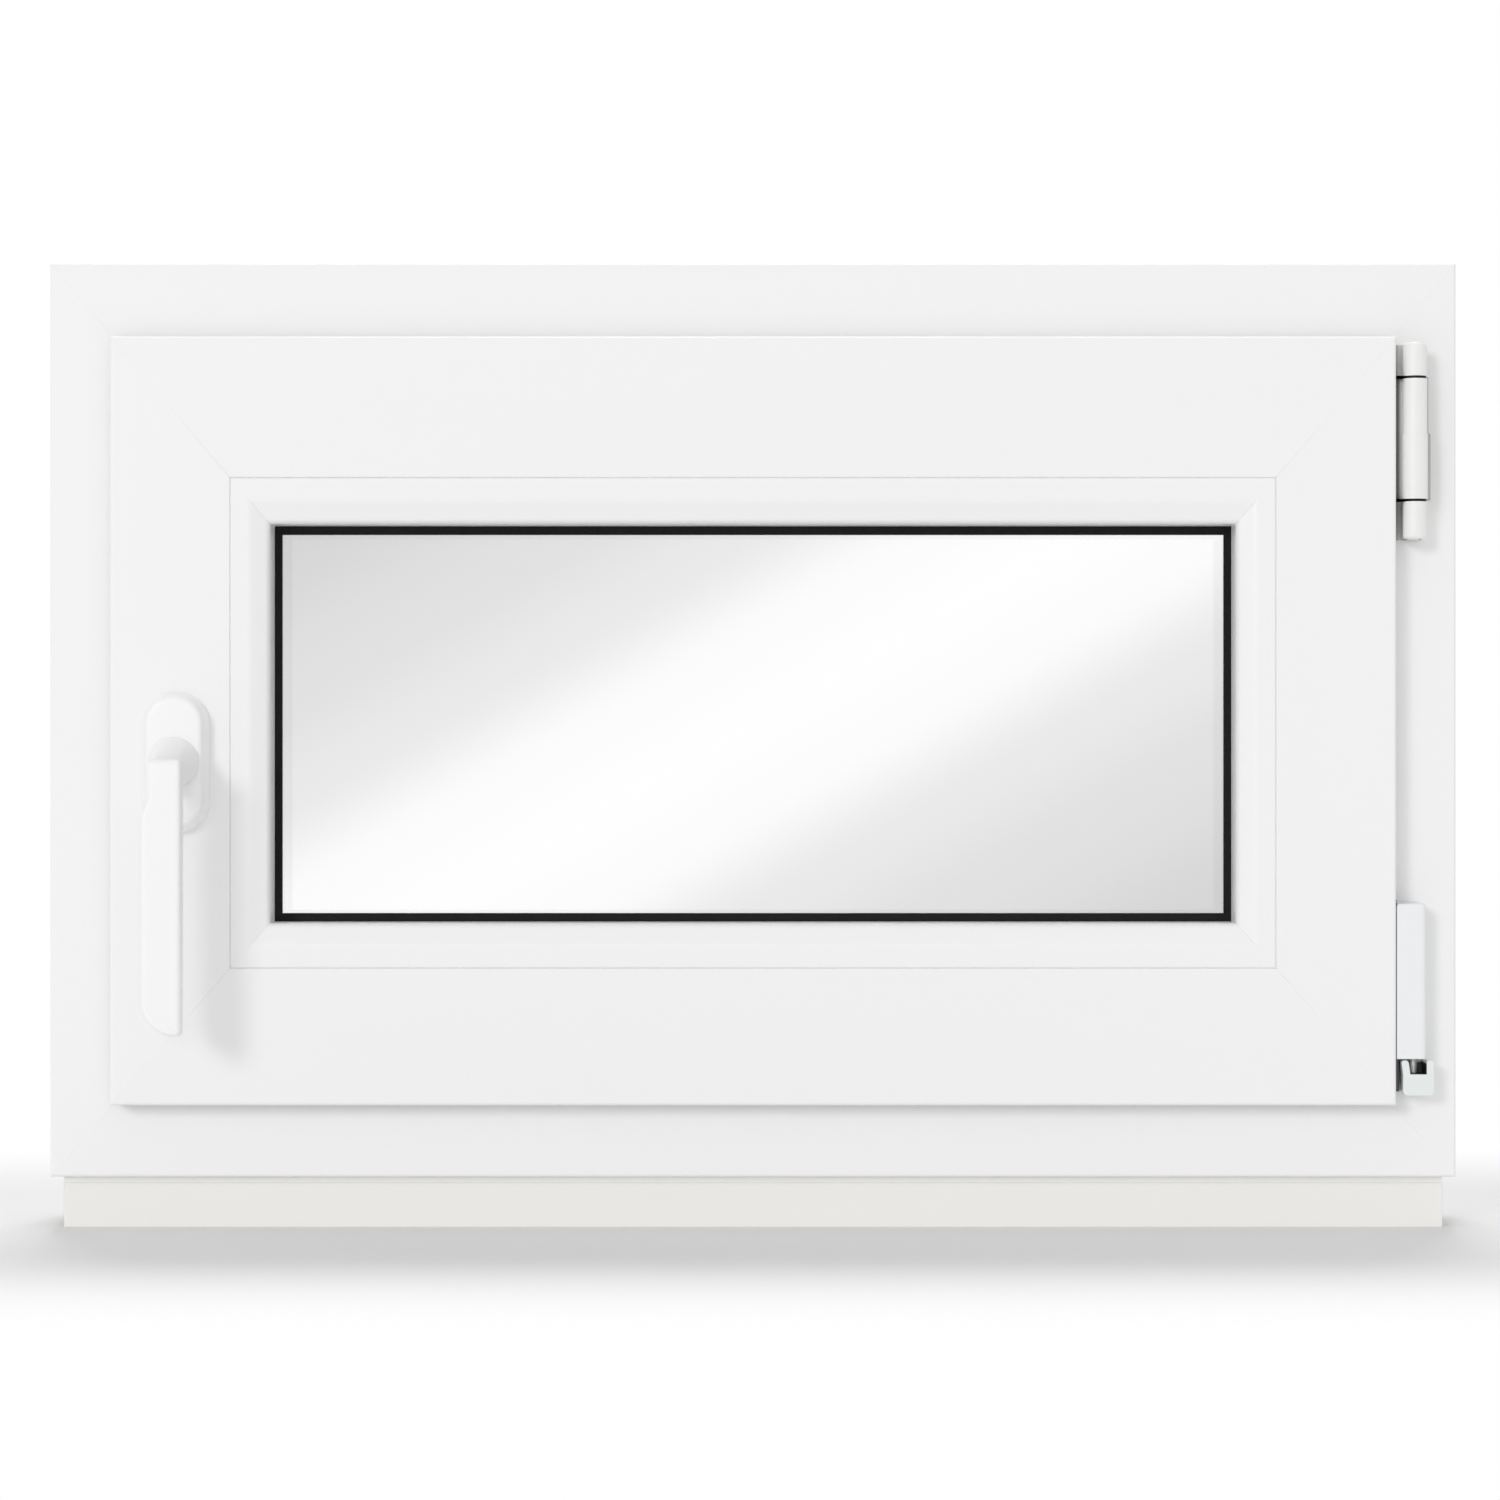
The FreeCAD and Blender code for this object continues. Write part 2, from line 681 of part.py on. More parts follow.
def make_lower_hinge():
    """A bevelled cover on the sash edge, its strap, and the forked corner pivot on the frame."""
    cover = new_body("lower_hinge_cover")
    outline = sketch_on(cover, "cover_section", "XY_Plane")
    out = "-spec.running_gap"
    room = "-spec.cover_depth"
    bevel = "spec.cover_bevel"
    add_outline(
        outline,
        [
            ("0", out),
            ("0", room),
            (f"(spec.cover_width - {bevel})", room),
            ("spec.cover_width", f"({room} + {bevel})"),
            ("spec.cover_width", out),
        ],
    )
    pad(cover, outline, "spec.cover_height")
    bind(cover, x=SASH_RIGHT, y=FRAME_ROOM, z=COVER_FOOT)

    fork = new_body("pivot_block")
    front = sketch_on(fork, "pivot_front", "XY_Plane")
    right = "(spec.pivot_block_left + spec.pivot_block_right)"
    left_ear = "spec.pivot_ear_width"
    right_ear = f"({right} - spec.pivot_ear_width)"
    ear_top = "(spec.pivot_block_height + spec.pivot_ear_height)"
    add_outline(
        front,
        [
            ("0", "0", "spec.pivot_block_round"),
            (right, "0", "spec.pivot_block_round"),
            (right, ear_top, "spec.edge_round"),
            (right_ear, ear_top, "spec.edge_round"),
            (right_ear, "spec.pivot_block_height"),
            (left_ear, "spec.pivot_block_height"),
            (f"({left_ear} - spec.pivot_ear_lean)", ear_top, "spec.edge_round"),
            ("-spec.pivot_ear_lean", ear_top, "spec.edge_round"),
        ],
    )
    pad(fork, front, "spec.pivot_block_depth")
    fork.Placement = turned((1, 0, 0), 90)
    fork_foot = f"{PIVOT_TOP} - spec.pivot_block_height"
    bind(fork, x=f"{HINGE_X} - spec.pivot_block_left", y=FRAME_ROOM, z=fork_foot)

    pin_y = f"({FRAME_ROOM} - spec.pivot_block_depth / 2)"
    pin = upright("pivot_pin_shape", HINGE_X, pin_y, (PIVOT_TOP, COVER_FOOT), "spec.pivot_pin_radius")
    keep(pin, "pivot_pin")
    strap_room = f"({pin_y} - spec.strap_depth / 2)"
    strap = box(
        "strap_shape",
        (SASH_RIGHT, f"({SASH_RIGHT} + spec.strap_width)"),
        (strap_room, f"({strap_room} + spec.strap_depth)"),
        (f"({COVER_FOOT} - spec.strap_drop)", COVER_FOOT),
    )
    keep(strap, "lower_hinge_strap")


# Outdoor drain caps


def make_drain_caps():
    """Two caps with sloping tops over the drain slots of the frame's bottom rail, outdoors."""
    slope = "(spec.drain_cap_height - spec.drain_cap_thickness)"
    for name, sign in (("left", "-"), ("right", "")):
        body = new_body("drain_cap_" + name)
        section = sketch_on(body, f"drain_cap_{name}_section", "YZ_Plane")
        add_outline(
            section,
            [
                ("0", "0"),
                ("spec.drain_cap_thickness", "0", "spec.edge_round"),
                ("spec.drain_cap_thickness", slope, "spec.edge_round"),
                ("0", "spec.drain_cap_height"),
            ],
        )
        pad(body, section, "spec.drain_cap_length", symmetric=True)
        foot = f"{FRAME_FOOT} + spec.drain_cap_rise"
        bind(body, x=f"{sign}spec.drain_cap_spacing / 2", y=FRAME_OUT, z=foot)


def check_and_write():
    """Stop on any failed object or shape, then write one STEP file for each sub-part."""
    doc.recompute()
    for obj in doc.Objects:
        if "Invalid" in obj.State or "Error" in obj.State:
            raise RuntimeError(f"{obj.Name} failed: {obj.State}")
    for obj in nodes:
        if obj.Shape.isNull() or not obj.Shape.isValid() or len(obj.Shape.Solids) != 1:
            raise RuntimeError(f"{obj.Label} is not one valid solid")
    os.makedirs("parts", exist_ok=True)
    for obj in nodes:
        obj.Shape.exportStep(f"parts/{obj.Label}.step")


fill_sheet()
make_profiles()
make_seals_and_glass()
make_sill_profile()
make_rosette()
make_lever()
make_spindle()
make_upper_hinge()
make_lower_hinge()
make_drain_caps()
check_and_write()
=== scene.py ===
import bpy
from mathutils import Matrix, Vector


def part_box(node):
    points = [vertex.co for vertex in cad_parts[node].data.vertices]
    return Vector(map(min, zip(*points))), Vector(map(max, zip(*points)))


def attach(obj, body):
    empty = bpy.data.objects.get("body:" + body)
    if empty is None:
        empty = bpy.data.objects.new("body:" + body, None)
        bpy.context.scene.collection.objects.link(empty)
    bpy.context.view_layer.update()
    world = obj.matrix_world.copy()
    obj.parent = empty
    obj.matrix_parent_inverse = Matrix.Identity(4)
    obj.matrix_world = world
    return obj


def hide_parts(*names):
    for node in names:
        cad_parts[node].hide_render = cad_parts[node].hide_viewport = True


bl_info = {
    "name": "Tilt and Turn Window",
    "version": (1, 0, 0),
    "blender": (4, 5, 0),
    "location": "3D View > Sidebar > Window",
    "description": "Models and finishes a small white tilt and turn window around its packed frame",
    "category": "Object",
}

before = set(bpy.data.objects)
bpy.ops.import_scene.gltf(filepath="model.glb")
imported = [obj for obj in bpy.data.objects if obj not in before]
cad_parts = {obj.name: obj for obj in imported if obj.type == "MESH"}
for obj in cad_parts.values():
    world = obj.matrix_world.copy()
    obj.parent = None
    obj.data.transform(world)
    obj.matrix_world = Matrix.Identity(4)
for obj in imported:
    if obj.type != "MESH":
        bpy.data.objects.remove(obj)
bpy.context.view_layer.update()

import math
from collections import namedtuple
from contextlib import contextmanager
from functools import cache

import bmesh
import bpy
from bpy.props import FloatProperty, FloatVectorProperty, PointerProperty
from bpy.types import Operator, Panel, PropertyGroup
from mathutils import Vector

# Metres. X runs to the right as seen from the room, Y runs outdoors, Z runs up.

JAMB_LOW, JAMB_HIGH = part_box("frame_left_jamb")
HEAD_LOW, HEAD_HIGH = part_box("frame_head")
FOOT_LOW, FOOT_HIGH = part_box("frame_bottom_rail")
STILE_LOW, STILE_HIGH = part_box("sash_left_stile")
BEAD_LOW, BEAD_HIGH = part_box("glazing_bead_left")

FRAME_DEPTH = JAMB_HIGH.y - JAMB_LOW.y
SASH_DEPTH = STILE_HIGH.y - STILE_LOW.y
BEAD_DEPTH = BEAD_HIGH.y - BEAD_LOW.y
STOP_REACH = JAMB_HIGH.x - JAMB_LOW.x
REVEAL = STILE_LOW.x - JAMB_LOW.x
BEAD_EDGE = BEAD_LOW.x - JAMB_LOW.x
GASKET_EDGE = BEAD_HIGH.x - JAMB_LOW.x
HEAD_RATIO = (HEAD_HIGH.z - HEAD_LOW.z) / STOP_REACH
FOOT_RATIO = (FOOT_HIGH.z - FOOT_LOW.z) / STOP_REACH

X = Vector((1, 0, 0))
Y = Vector((0, 1, 0))
Z = Vector((0, 0, 1))

# Closer than this, two places are the same
TOUCH = 1e-5

# A face points along a direction where its normal's share of that direction is over FACING, and lies
# aside from it where the share is under ASIDE
FACING = 0.9
ASIDE = 0.5

# Edges that turn less than this are shaded smooth
SMOOTH_ANGLE = math.radians(38)

# Facets across a rounding, across a wider one, and round a bar
ROUND_STEPS = 4
WIDE_STEPS = 6
BARREL_SIDES = 64

# Length left beyond each mitre until it is cut
SPARE_LENGTH = 0.002


def length(name, description, default):
    """A property that holds a length in metres."""
    return FloatProperty(
        name=name, description=description, default=default, precision=5, subtype="DISTANCE", unit="LENGTH"
    )


def colour(name, description, default):
    """A property that holds a colour."""
    return FloatVectorProperty(
        name=name, description=description, default=default, size=3, min=0, max=1, subtype="COLOR"
    )


def amount(name, description, default):
    """A property that holds a plain number."""
    return FloatProperty(name=name, description=description, default=default, precision=3)


def angle(name, description, degrees):
    """A property that holds an angle."""
    return FloatProperty(
        name=name, description=description, default=math.radians(degrees), subtype="ANGLE", unit="ROTATION"
    )


# Sizes and colours


class ProfileSettings(PropertyGroup):
    """Sections and finish of the frame, sash, bead and sill profiles"""

    lip_reach: length("Lip Reach", "From the frame's outer edge to the end of its room-side lip", 0.036)
    stop_start: length("Stop Start", "Depth at which the frame's outdoor stop begins", 0.0515)
    stop_bevel: length("Stop Bevel", "How far the stop leans back at its outdoor edge", 0.004)
    groove_width: length("Groove Width", "Width of each anchor groove", 0.008)
    groove_depth: length("Groove Depth", "Depth of each anchor groove", 0.003)
    groove_inset: length("Groove Inset", "From a face of the frame to the nearer groove", 0.012)
    sash_body: length("Sash Body", "From the frame's outer edge to the sash's body", 0.048)
    flange_depth: length("Flange Depth", "Thickness of the sash's room-side flange", 0.015)
    glass_seat: length("Glass Seat", "From the sash's room face to the leg behind the glass", 0.052)
    leg_bevel: length("Leg Bevel", "How far the outdoor leg leans back from the glass", 0.003)
    bead_flat: length("Bead Flat", "Width of the bead's flat front", 0.0084)
    bead_slope: length("Bead Slope", "Width of the bead's sloping front", 0.0081)
    bead_drop: length("Bead Drop", "How far the sloping front falls", 0.0034)
    bead_chamfer: length("Bead Chamfer", "Chamfer along the joint of bead and sash", 0.0005)
    bead_softening: length("Bead Softening", "Rounding between the bead's flat and its slope", 0.0012)
    bead_nose: length("Bead Nose", "Rounding where the slope turns down to the glass", 0.0022)
    edge_round: length("Edge Rounding", "Rounding of the profiles' outer edges", 0.0015)
    fine_round: length("Fine Rounding", "Rounding of the small edges", 0.0008)
    weld_chamfer: length("Weld Chamfer", "Fine chamfer where two lengths are welded", 0.00008)
    bore: length("Bore", "Width of the hole for the handle's spindle", 0.012)
    bore_depth: length("Bore Depth", "Depth of the hole for the handle's spindle", 0.0283)
    sill_wall: length("Sill Wall", "Wall thickness of the sill profile", 0.0025)
    sill_neck_height: length("Sill Neck Height", "Height of the sill profile's set-back neck", 0.003)
    sill_neck_setback: length("Sill Neck Setback", "How far the neck stands back on each face", 0.0012)
    cap_rim: length("Drain Cap Rim", "Wall thickness of a drain cap", 0.0009)
    white: colour("White", "Through-coloured white plastic", (0.928, 0.928, 0.926))
    sill_white: colour("Sill White", "Warmer white of the sill profile", (0.885, 0.875, 0.853))


class GlazingSettings(PropertyGroup):
    """Gaskets, seals and glass"""

    inner_width: length("Inner Gasket Width", "Width of the room-side gasket, on its upright lengths", 0.0071)
    outer_width: length("Outer Gasket Width", "Width of the outdoor gasket, on its upright lengths", 0.0047)
    lip_fall: length("Lip Fall", "How far a gasket's lip falls towards the glass", 0.0012)
    lip_round: length("Lip Rounding", "Rounding of a gasket's lip", 0.0007)
    rubber: colour("Rubber", "Black synthetic rubber", (0.006, 0.006, 0.0055))
    sealant: colour("Sealant", "Dark sealant at the edge of the glass unit", (0.03, 0.03, 0.032))
    spacer: colour("Spacer", "Bright metal of the spacer bar", (0.62, 0.63, 0.64))
    glass: colour("Glass", "Slight tint of the clear glass", (0.987, 0.987, 0.987))


class HandleSettings(PropertyGroup):
    """The cranked lever and its base"""

    base_lift: length("Base Lift", "Height of the shadow gap under the base's cover", 0.0006)
    base_edge: length("Base Edge", "Upright edge at the foot of the cover", 0.0008)
    cover_lean: length("Cover Lean", "How far the cover's sides lean in", 0.0023)
    cover_round: length("Cover Rounding", "Rounding round the cover's front", 0.0018)
    boss_radius: length("Boss Radius", "Radius of the lever's boss at its foot", 0.0106)
    boss_end_radius: length("Boss End Radius", "Radius of the boss where it has run into the grip", 0.0064)
    boss_end_drop: length("Boss End Drop", "How far the end of the boss lies below the axis", 0.0054)
    boss_end_gap: length("Boss End Gap", "From the lever's front to the end of the boss", 0.004)
    nose_rise: length("Nose Rise", "From the axis up to the top of the grip", 0.0015)
    nose_round: length("Nose Rounding", "Rounding at the top of the grip's front", 0.0032)
    blade_left: length("Blade Left", "From the axis to the grip's left side at its top", 0.006)
    blade_right: length("Blade Right", "From the axis to the grip's right side", 0.0077)
    grip_left: length("Grip Left", "From the axis to the grip's left side lower down", 0.0088)
    grip_thickness: length("Grip Thickness", "Thickness of the grip, from the front", 0.012)
    step_start: length("Step Start", "Below the axis, where the grip begins to widen", 0.0154)
    step_end: length("Step End", "Below the axis, where the grip has its full width", 0.0216)
    tip_thinning: length("Tip Thinning", "How much thinner the grip is at its tip", 0.0016)
    elbow_round: length("Elbow Rounding", "Rounding between the boss and the back of the grip", 0.002)
    tip_round: length("Tip Rounding", "Curve of the tip's outer corner", 0.014)
    tip_corner: length("Tip Corner", "Rounding of the tip's inner corner", 0.002)
    rim_round: length("Rim Rounding", "Rounding along all the lever's edges", 0.002)
    coat: colour("Coat", "White powder coat", (0.965, 0.965, 0.963))


class HingeSettings(PropertyGroup):
    """The stay bearing at the top and the corner hinge at the foot"""

    pin_radius: length("Pin Bore Radius", "Radius of the bore for the bearing's pin", 0.00305)
    pin_reach: length("Pin Reach", "How deep the pin goes into cap and knuckle", 0.008)
    ring_height: length("Ring Height", "Height of the dark rings in the barrels' joints", 0.0011)
    ring_setback: length("Ring Setback", "How far the dark rings stand back from the barrels", 0.0003)
    ring_half_width: length("Ring Half Width", "Half the width of the arm that holds each ring", 0.0025)
    plate_thickness: length("Plate Thickness", "Thickness of the bearing's steel plate", 0.0008)
    barrel_round: length("Barrel Rounding", "Rounding of the barrels' free ends", 0.0016)
    cap_dome: length("Cap Dome", "Rounding of the cap's top", 0.0024)
    collar_height: length("Collar Height", "Height of the sleeve's wider lower part", 0.0275)
    collar_step: length("Collar Step", "How far the lower part stands out", 0.0003)
    collar_lead: length("Collar Lead", "Height over which the sleeve widens", 0.0006)
    clip_reach: length("Clip Reach", "How far the sleeve's grey clip stands out beside the collar", 0.0009)
    clip_edge: length("Clip Edge", "How far the clip stands out above the collar", 0.00025)
    clip_root: length("Clip Root", "How deep the clip sits in the collar", 0.0009)
    clip_depth: length("Clip Depth", "Size of the clip from front to back", 0.002)
    arm_setback: length("Arm Setback", "From the bearing's axis outdoors to the stay arm's end", 0.001)
    arm_thickness: length("Arm Thickness", "Thickness of the stay arm's end", 0.003)
    arm_gap: length("Arm Gap", "Wall between the stay arm's end and the pin's bore", 0.0004)
    # Where the painted shade in the bearing's gap fades, measured from the sash
    gap_shade_start: length("Rub Start", "From the sash to where the gap's dark begins to fade", 0.0012)
    gap_shade_end: length("Rub End", "From the sash to where it has faded", 0.0036)
    cover_round: length("Cover Rounding", "Rounding of the corner cover's free upright edge", 0.0024)
    cover_shoulder: length("Cover Shoulder", "Rounding of the corner cover's top", 0.0018)
    cover_fine: length("Cover Fine Rounding", "Rounding of the corner cover's other edges", 0.0005)
    ear_width: length("Ear Width", "Thickness of each ear of the pivot fork", 0.003)
    ear_height: length("Ear Height", "Height of the ears above the fork's bridge", 0.0059)
    ear_lean: length("Ear Lean", "How far the left ear leans towards the sash", 0.0008)
    liner: length("Liner", "Thickness of the steel plate behind the pivot", 0.0016)
    edge_strip: length("Edge Strip", "Thickness of the strip between sash and corner cover", 0.00035)
    edge_strip_setback: length("Edge Strip Setback", "From the cover's face back to the strip", 0.0008)
    edge_strip_rise: length("Edge Strip Rise", "How far the strip stands up over the cover", 0.0014)
    fork_round: length("Fork Rounding", "Rounding of the fork's lower corners", 0.002)
    ear_round: length("Ear Rounding", "Rounding of the fork's ears", 0.0013)
    pin_chamfer: length("Pin Chamfer", "Chamfer at the ends of the pivot pin", 0.0003)
    coat: colour("Coat", "Painted metal of the bearing", (0.89, 0.897, 0.873))
    fork_coat: colour("Fork Coat", "Cooler paint of the pivot fork", (0.825, 0.868, 0.857))
    cover: colour("Cover", "Cool white plastic of the corner cover", (0.885, 0.9, 0.92))
    steel: colour("Steel", "Bright drawn steel", (0.84, 0.84, 0.83))
    # Painted shade: paint darkened for the shade in the gap beside the bearing
    gap_shaded_paint: colour("Rubbed Paint", "Worn paint in the gap beside the bearing", (0.68, 0.68, 0.67))
    # Partly painted shade: this grey also stands in for the shade line along the sleeve's right edge
    clip: colour("Clip", "Grey plastic of the sleeve's clip", (0.4, 0.4, 0.396))
    # Painted shade: this near-black stands in for the shade in the gaps and recesses of the hinges
    painted_shade_steel: colour("Dark Steel", "Dark passivated steel of the hinges", (0.1, 0.102, 0.105))
    joint_steel: colour("Joint Steel", "Near-black rings in the bearing's joints", (0.03, 0.03, 0.031))


class StageSettings(PropertyGroup):
    """Camera, floor and lights"""

    camera_x: length("Camera X", "The camera's place across the window", -0.00128)
    camera_distance: length("Camera Distance", "From the frame's room face to the camera", 1.9)
    camera_height: length("Camera Height", "The camera's height over the floor", 0.2042)
    view_width: length("View Width", "Width of the picture at the frame's room face", 0.64011)
    floor_size: length("Floor Size", "Width of the floor", 4.0)
    fade_start: length("Fade Start", "Distance from the window where the floor begins to turn white", 0.08)
    fade_end: length("Fade End", "Distance from the window where the floor is plain white", 0.34)
    floor: colour("Floor", "Pale floor as the camera sees it", (0.82, 0.82, 0.82))
    bounce: colour("Bounce", "Floor as it sends light back to the window", (0.35, 0.35, 0.35))
    bounce_glow: amount("Bounce Glow", "Even light that the floor adds to that", 0.42)
    ambient: amount("Ambient", "Even light from all round", 0.7)
    front: amount("Front", "Brightness of the front light on a white surface that faces it", 0.05)
    front_angle: angle("Front Angle", "How wide the front light looks from the window", 12)
    key: amount("Key", "Brightness of the key light on a white surface that faces it", 0.195)
    key_angle: angle("Key Angle", "How wide the key light looks from the window", 13)
    top: amount("Top", "Brightness of the top light on a white surface that faces it", 0.33)
    top_angle: angle("Top Angle", "How wide the top light looks from the window", 20)


# Modelling steps


def same(one, other):
    return abs(one - other) < TOUCH


def select_only(piece):
    """Select one piece alone."""
    bpy.ops.object.select_all(action="DESELECT")
    piece.select_set(True)
    bpy.context.view_layer.objects.active = piece


def name_new(name):
    """Name the object that a primitive has just added, with its place in its mesh."""
    piece = bpy.context.active_object
    piece.name = name
    piece.data.name = name
    bpy.ops.object.transform_apply(location=True, rotation=True, scale=True)
    return piece


def start_box(name, low, high):
    """A box between two corners."""
    low, high = Vector(low), Vector(high)
    bpy.ops.object.select_all(action="DESELECT")
    bpy.ops.mesh.primitive_cube_add(size=1, location=(low + high) / 2, scale=high - low)
    return name_new(name)


def start_rod(name, foot, top, radius, along=Z, sides=BARREL_SIDES):
    """A round bar along Z or Y, between two points."""
    foot, top = Vector(foot), Vector(top)
    turn = (math.radians(90), 0, 0) if along == Y else (0, 0, 0)
    bpy.ops.object.select_all(action="DESELECT")
    bpy.ops.mesh.primitive_cylinder_add(
        vertices=sides, radius=radius, depth=(top - foot).length, location=(foot + top) / 2, rotation=turn
    )
    return name_new(name)


@contextmanager
def picked(piece, kind, test):
    """Edit mode with the vertices, edges or faces that pass a test selected, or an error if none do."""
    select_only(piece)
    bpy.ops.object.mode_set(mode="EDIT")
    bpy.ops.mesh.select_mode(type=kind)
    bpy.ops.mesh.select_all(action="DESELECT")
    mesh = bmesh.from_edit_mesh(piece.data)
    mesh.normal_update()
    items = {"VERT": mesh.verts, "EDGE": mesh.edges, "FACE": mesh.faces}[kind]
    chosen = [item for item in items if test(item)]
    if not chosen:
        raise RuntimeError(f"{piece.name} has nothing to select there")
    for item in chosen:
        item.select_set(True)
    bmesh.update_edit_mesh(piece.data)
    yield
    bpy.ops.object.mode_set(mode="OBJECT")


def extrude(piece, test, move):
    """Extrude the chosen faces as one region."""
    with picked(piece, "FACE", test):
        bpy.ops.mesh.extrude_region_move(TRANSFORM_OT_translate={"value": move})


def extrude_to(piece, test, axis, place):
    """Extrude the chosen faces and lay their ends flat at a place along an axis."""
    flat = [0 if index == axis else 1 for index in range(3)]
    centre = [place if index == axis else 0 for index in range(3)]
    with picked(piece, "FACE", test):
        bpy.ops.mesh.extrude_region_move()
        bpy.ops.transform.resize(value=flat, center_override=centre)


def shift(piece, test, move):
    """Move the chosen vertices."""
    with picked(piece, "VERT", test):
        bpy.ops.transform.translate(value=move)


def inset(piece, test, thickness, depth=0.0):
    """Inset the chosen faces, and raise or sink them by a depth."""
    with picked(piece, "FACE", test):
        bpy.ops.mesh.inset(thickness=thickness, depth=depth)


def slice_at(piece, direction, distance):
    """Add a loop of edges where a plane crosses the piece."""
    with picked(piece, "FACE", lambda face: True):
        bpy.ops.mesh.bisect(plane_co=direction * distance, plane_no=direction, threshold=TOUCH)


def cut_off(piece, point, outward):
    """Cut the piece at a plane, drop the outer part and close the cut."""
    with picked(piece, "FACE", lambda face: True):
        bpy.ops.mesh.bisect(
            plane_co=point, plane_no=outward, use_fill=True, clear_outer=True, threshold=TOUCH
        )


def round_edges(piece, test, radius, steps=ROUND_STEPS):
    """Round or chamfer the chosen edges."""
    with picked(piece, "EDGE", test):
        bpy.ops.mesh.bevel(offset=radius, segments=steps, affect="EDGES")


def join_through(piece, test):
    """Turn two facing faces into a passage from one to the other."""
    with picked(piece, "FACE", test):
        bpy.ops.mesh.bridge_edge_loops()


def carve(piece, other, operation="DIFFERENCE"):
    """Cut another shape out of the piece, or unite it with the piece, and delete that shape."""
    select_only(piece)
    boolean = piece.modifiers.new("carve", "BOOLEAN")
    boolean.operation = operation
    boolean.solver = "EXACT"
    boolean.object = other
    bpy.ops.object.modifier_apply(modifier=boolean.name)
    bpy.data.objects.remove(other)


def at(vert, **places):
    """True where a vertex lies at the given places along x, y or z."""
    return all(same(getattr(vert.co, axis), place) for axis, place in places.items())


def all_at(item, **places):
    """True where all vertices of an edge or face lie at the given places."""
    return all(at(vert, **places) for vert in item.verts)


def lying_at(**places):
    """A test for edges or faces that lie at the given places."""
    return lambda item: all_at(item, **places)


def facing(direction):
    """A test for faces that point along a direction."""
    return lambda face: face.normal.dot(direction) > FACING


def middle(item):
    """The middle of an edge or face."""
    return sum((vert.co for vert in item.verts), Vector()) / len(item.verts)


def finish_piece(piece, nodes, material, body="window"):
    """Shade a finished piece and let it stand for its nodes."""
    select_only(piece)
    bpy.ops.object.transform_apply(location=True, rotation=True, scale=True)
    bpy.ops.object.shade_smooth_by_angle(angle=SMOOTH_ANGLE)
    weighting = piece.modifiers.new("weighting", "WEIGHTED_NORMAL")
    weighting.keep_sharp = True
    bpy.ops.object.modifier_apply(modifier=weighting.name)
    piece.data.materials.clear()
    piece.data.materials.append(material)
    if nodes:
        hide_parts(*nodes)
    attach(piece, body)
    return piece


# Materials


def add_node(tree, kind, inputs=None, **options):
    """Add a shader node, set its options, and link or set its inputs."""
    node = tree.nodes.new("ShaderNode" + kind)
    for name, value in options.items():
        setattr(node, name, value)
    for name, value in (inputs or {}).items():
        if isinstance(value, bpy.types.NodeSocket):
            tree.links.new(value, node.inputs[name])
        else:
            node.inputs[name].default_value = value
    return node


def smooth_rise(tree, driver, start, end):
    """A factor that rises softly from 0 to 1 as the driver goes from start to end."""
    inputs = {"Value": driver, "From Min": start, "From Max": end}
    return add_node(tree, "MapRange", inputs, interpolation_type="SMOOTHSTEP").outputs["Result"]


def mix_colours(tree, factor, first, last):
    """A colour that goes from the first to the last with the factor."""
    inputs = {"Factor": factor, "A": (*first, 1), "B": (*last, 1)}
    return add_node(tree, "Mix", inputs, data_type="RGBA").outputs["Result"]


# Most of a noise's values lie between these
NOISE_LOW = 0.3
NOISE_HIGH = 0.7


class Finish:
    """A node material on object coordinates, built up in steps."""

    def __init__(self, name):
        self.material = bpy.data.materials.new(name)
        self.material.use_nodes = True
        self.tree = self.material.node_tree
        self.surface = self.tree.nodes["Principled BSDF"].inputs
        self.place = add_node(self.tree, "TexCoord").outputs["Object"]

    def noise(self, scale, stretch=(1, 1, 1), detail=3.0):
        """Noise whose features are about one over scale metres across, times the stretch."""
        inputs = {"Vector": self.place, "Scale": [1 / factor for factor in stretch]}
        mapping = add_node(self.tree, "Mapping", inputs)
        inputs = {"Vector": mapping.outputs["Vector"], "Scale": scale, "Detail": detail}
        return add_node(self.tree, "TexNoise", inputs).outputs["Fac"]

    def shades(self, driver, base, spread):
        """Base colour that runs a little darker and lighter with the driver."""
        ramp = add_node(self.tree, "ValToRGB", {"Fac": driver})
        stops = ((NOISE_LOW, 1 - spread), (NOISE_HIGH, 1 + spread))
        for element, (position, share) in zip(ramp.color_ramp.elements, stops):
            element.position = position
            element.color = (*(min(1, part * share) for part in base), 1)
        self.tree.links.new(ramp.outputs["Color"], self.surface["Base Color"])

    def fade(self, start, end, first, last):
        """Base colour that runs from one colour to another between two places along X."""
        across = add_node(self.tree, "SeparateXYZ", {"Vector": self.place}).outputs["X"]
        tone = mix_colours(self.tree, smooth_rise(self.tree, across, start, end), first, last)
        self.tree.links.new(tone, self.surface["Base Color"])

    def roughness(self, driver, low, high):
        """Roughness between two values."""
        inputs = {"Value": driver, "From Min": NOISE_LOW, "From Max": NOISE_HIGH}
        span = add_node(self.tree, "MapRange", {**inputs, "To Min": low, "To Max": high})
        self.tree.links.new(span.outputs["Result"], self.surface["Roughness"])

    def relief(self, driver, height):
        """Bumps of a height in metres, laid over any that are there."""
        bump = add_node(self.tree, "Bump", {"Height": driver, "Distance": height, "Strength": 1.0})
        target = self.surface["Normal"]
        if target.is_linked:
            self.tree.links.new(target.links[0].from_socket, bump.inputs["Normal"])
        self.tree.links.new(bump.outputs["Normal"], target)

    def set(self, **values):
        """Set plain values on the shader's own sockets."""
        for name, value in values.items():
            self.surface[name.replace("_", " ")].default_value = value


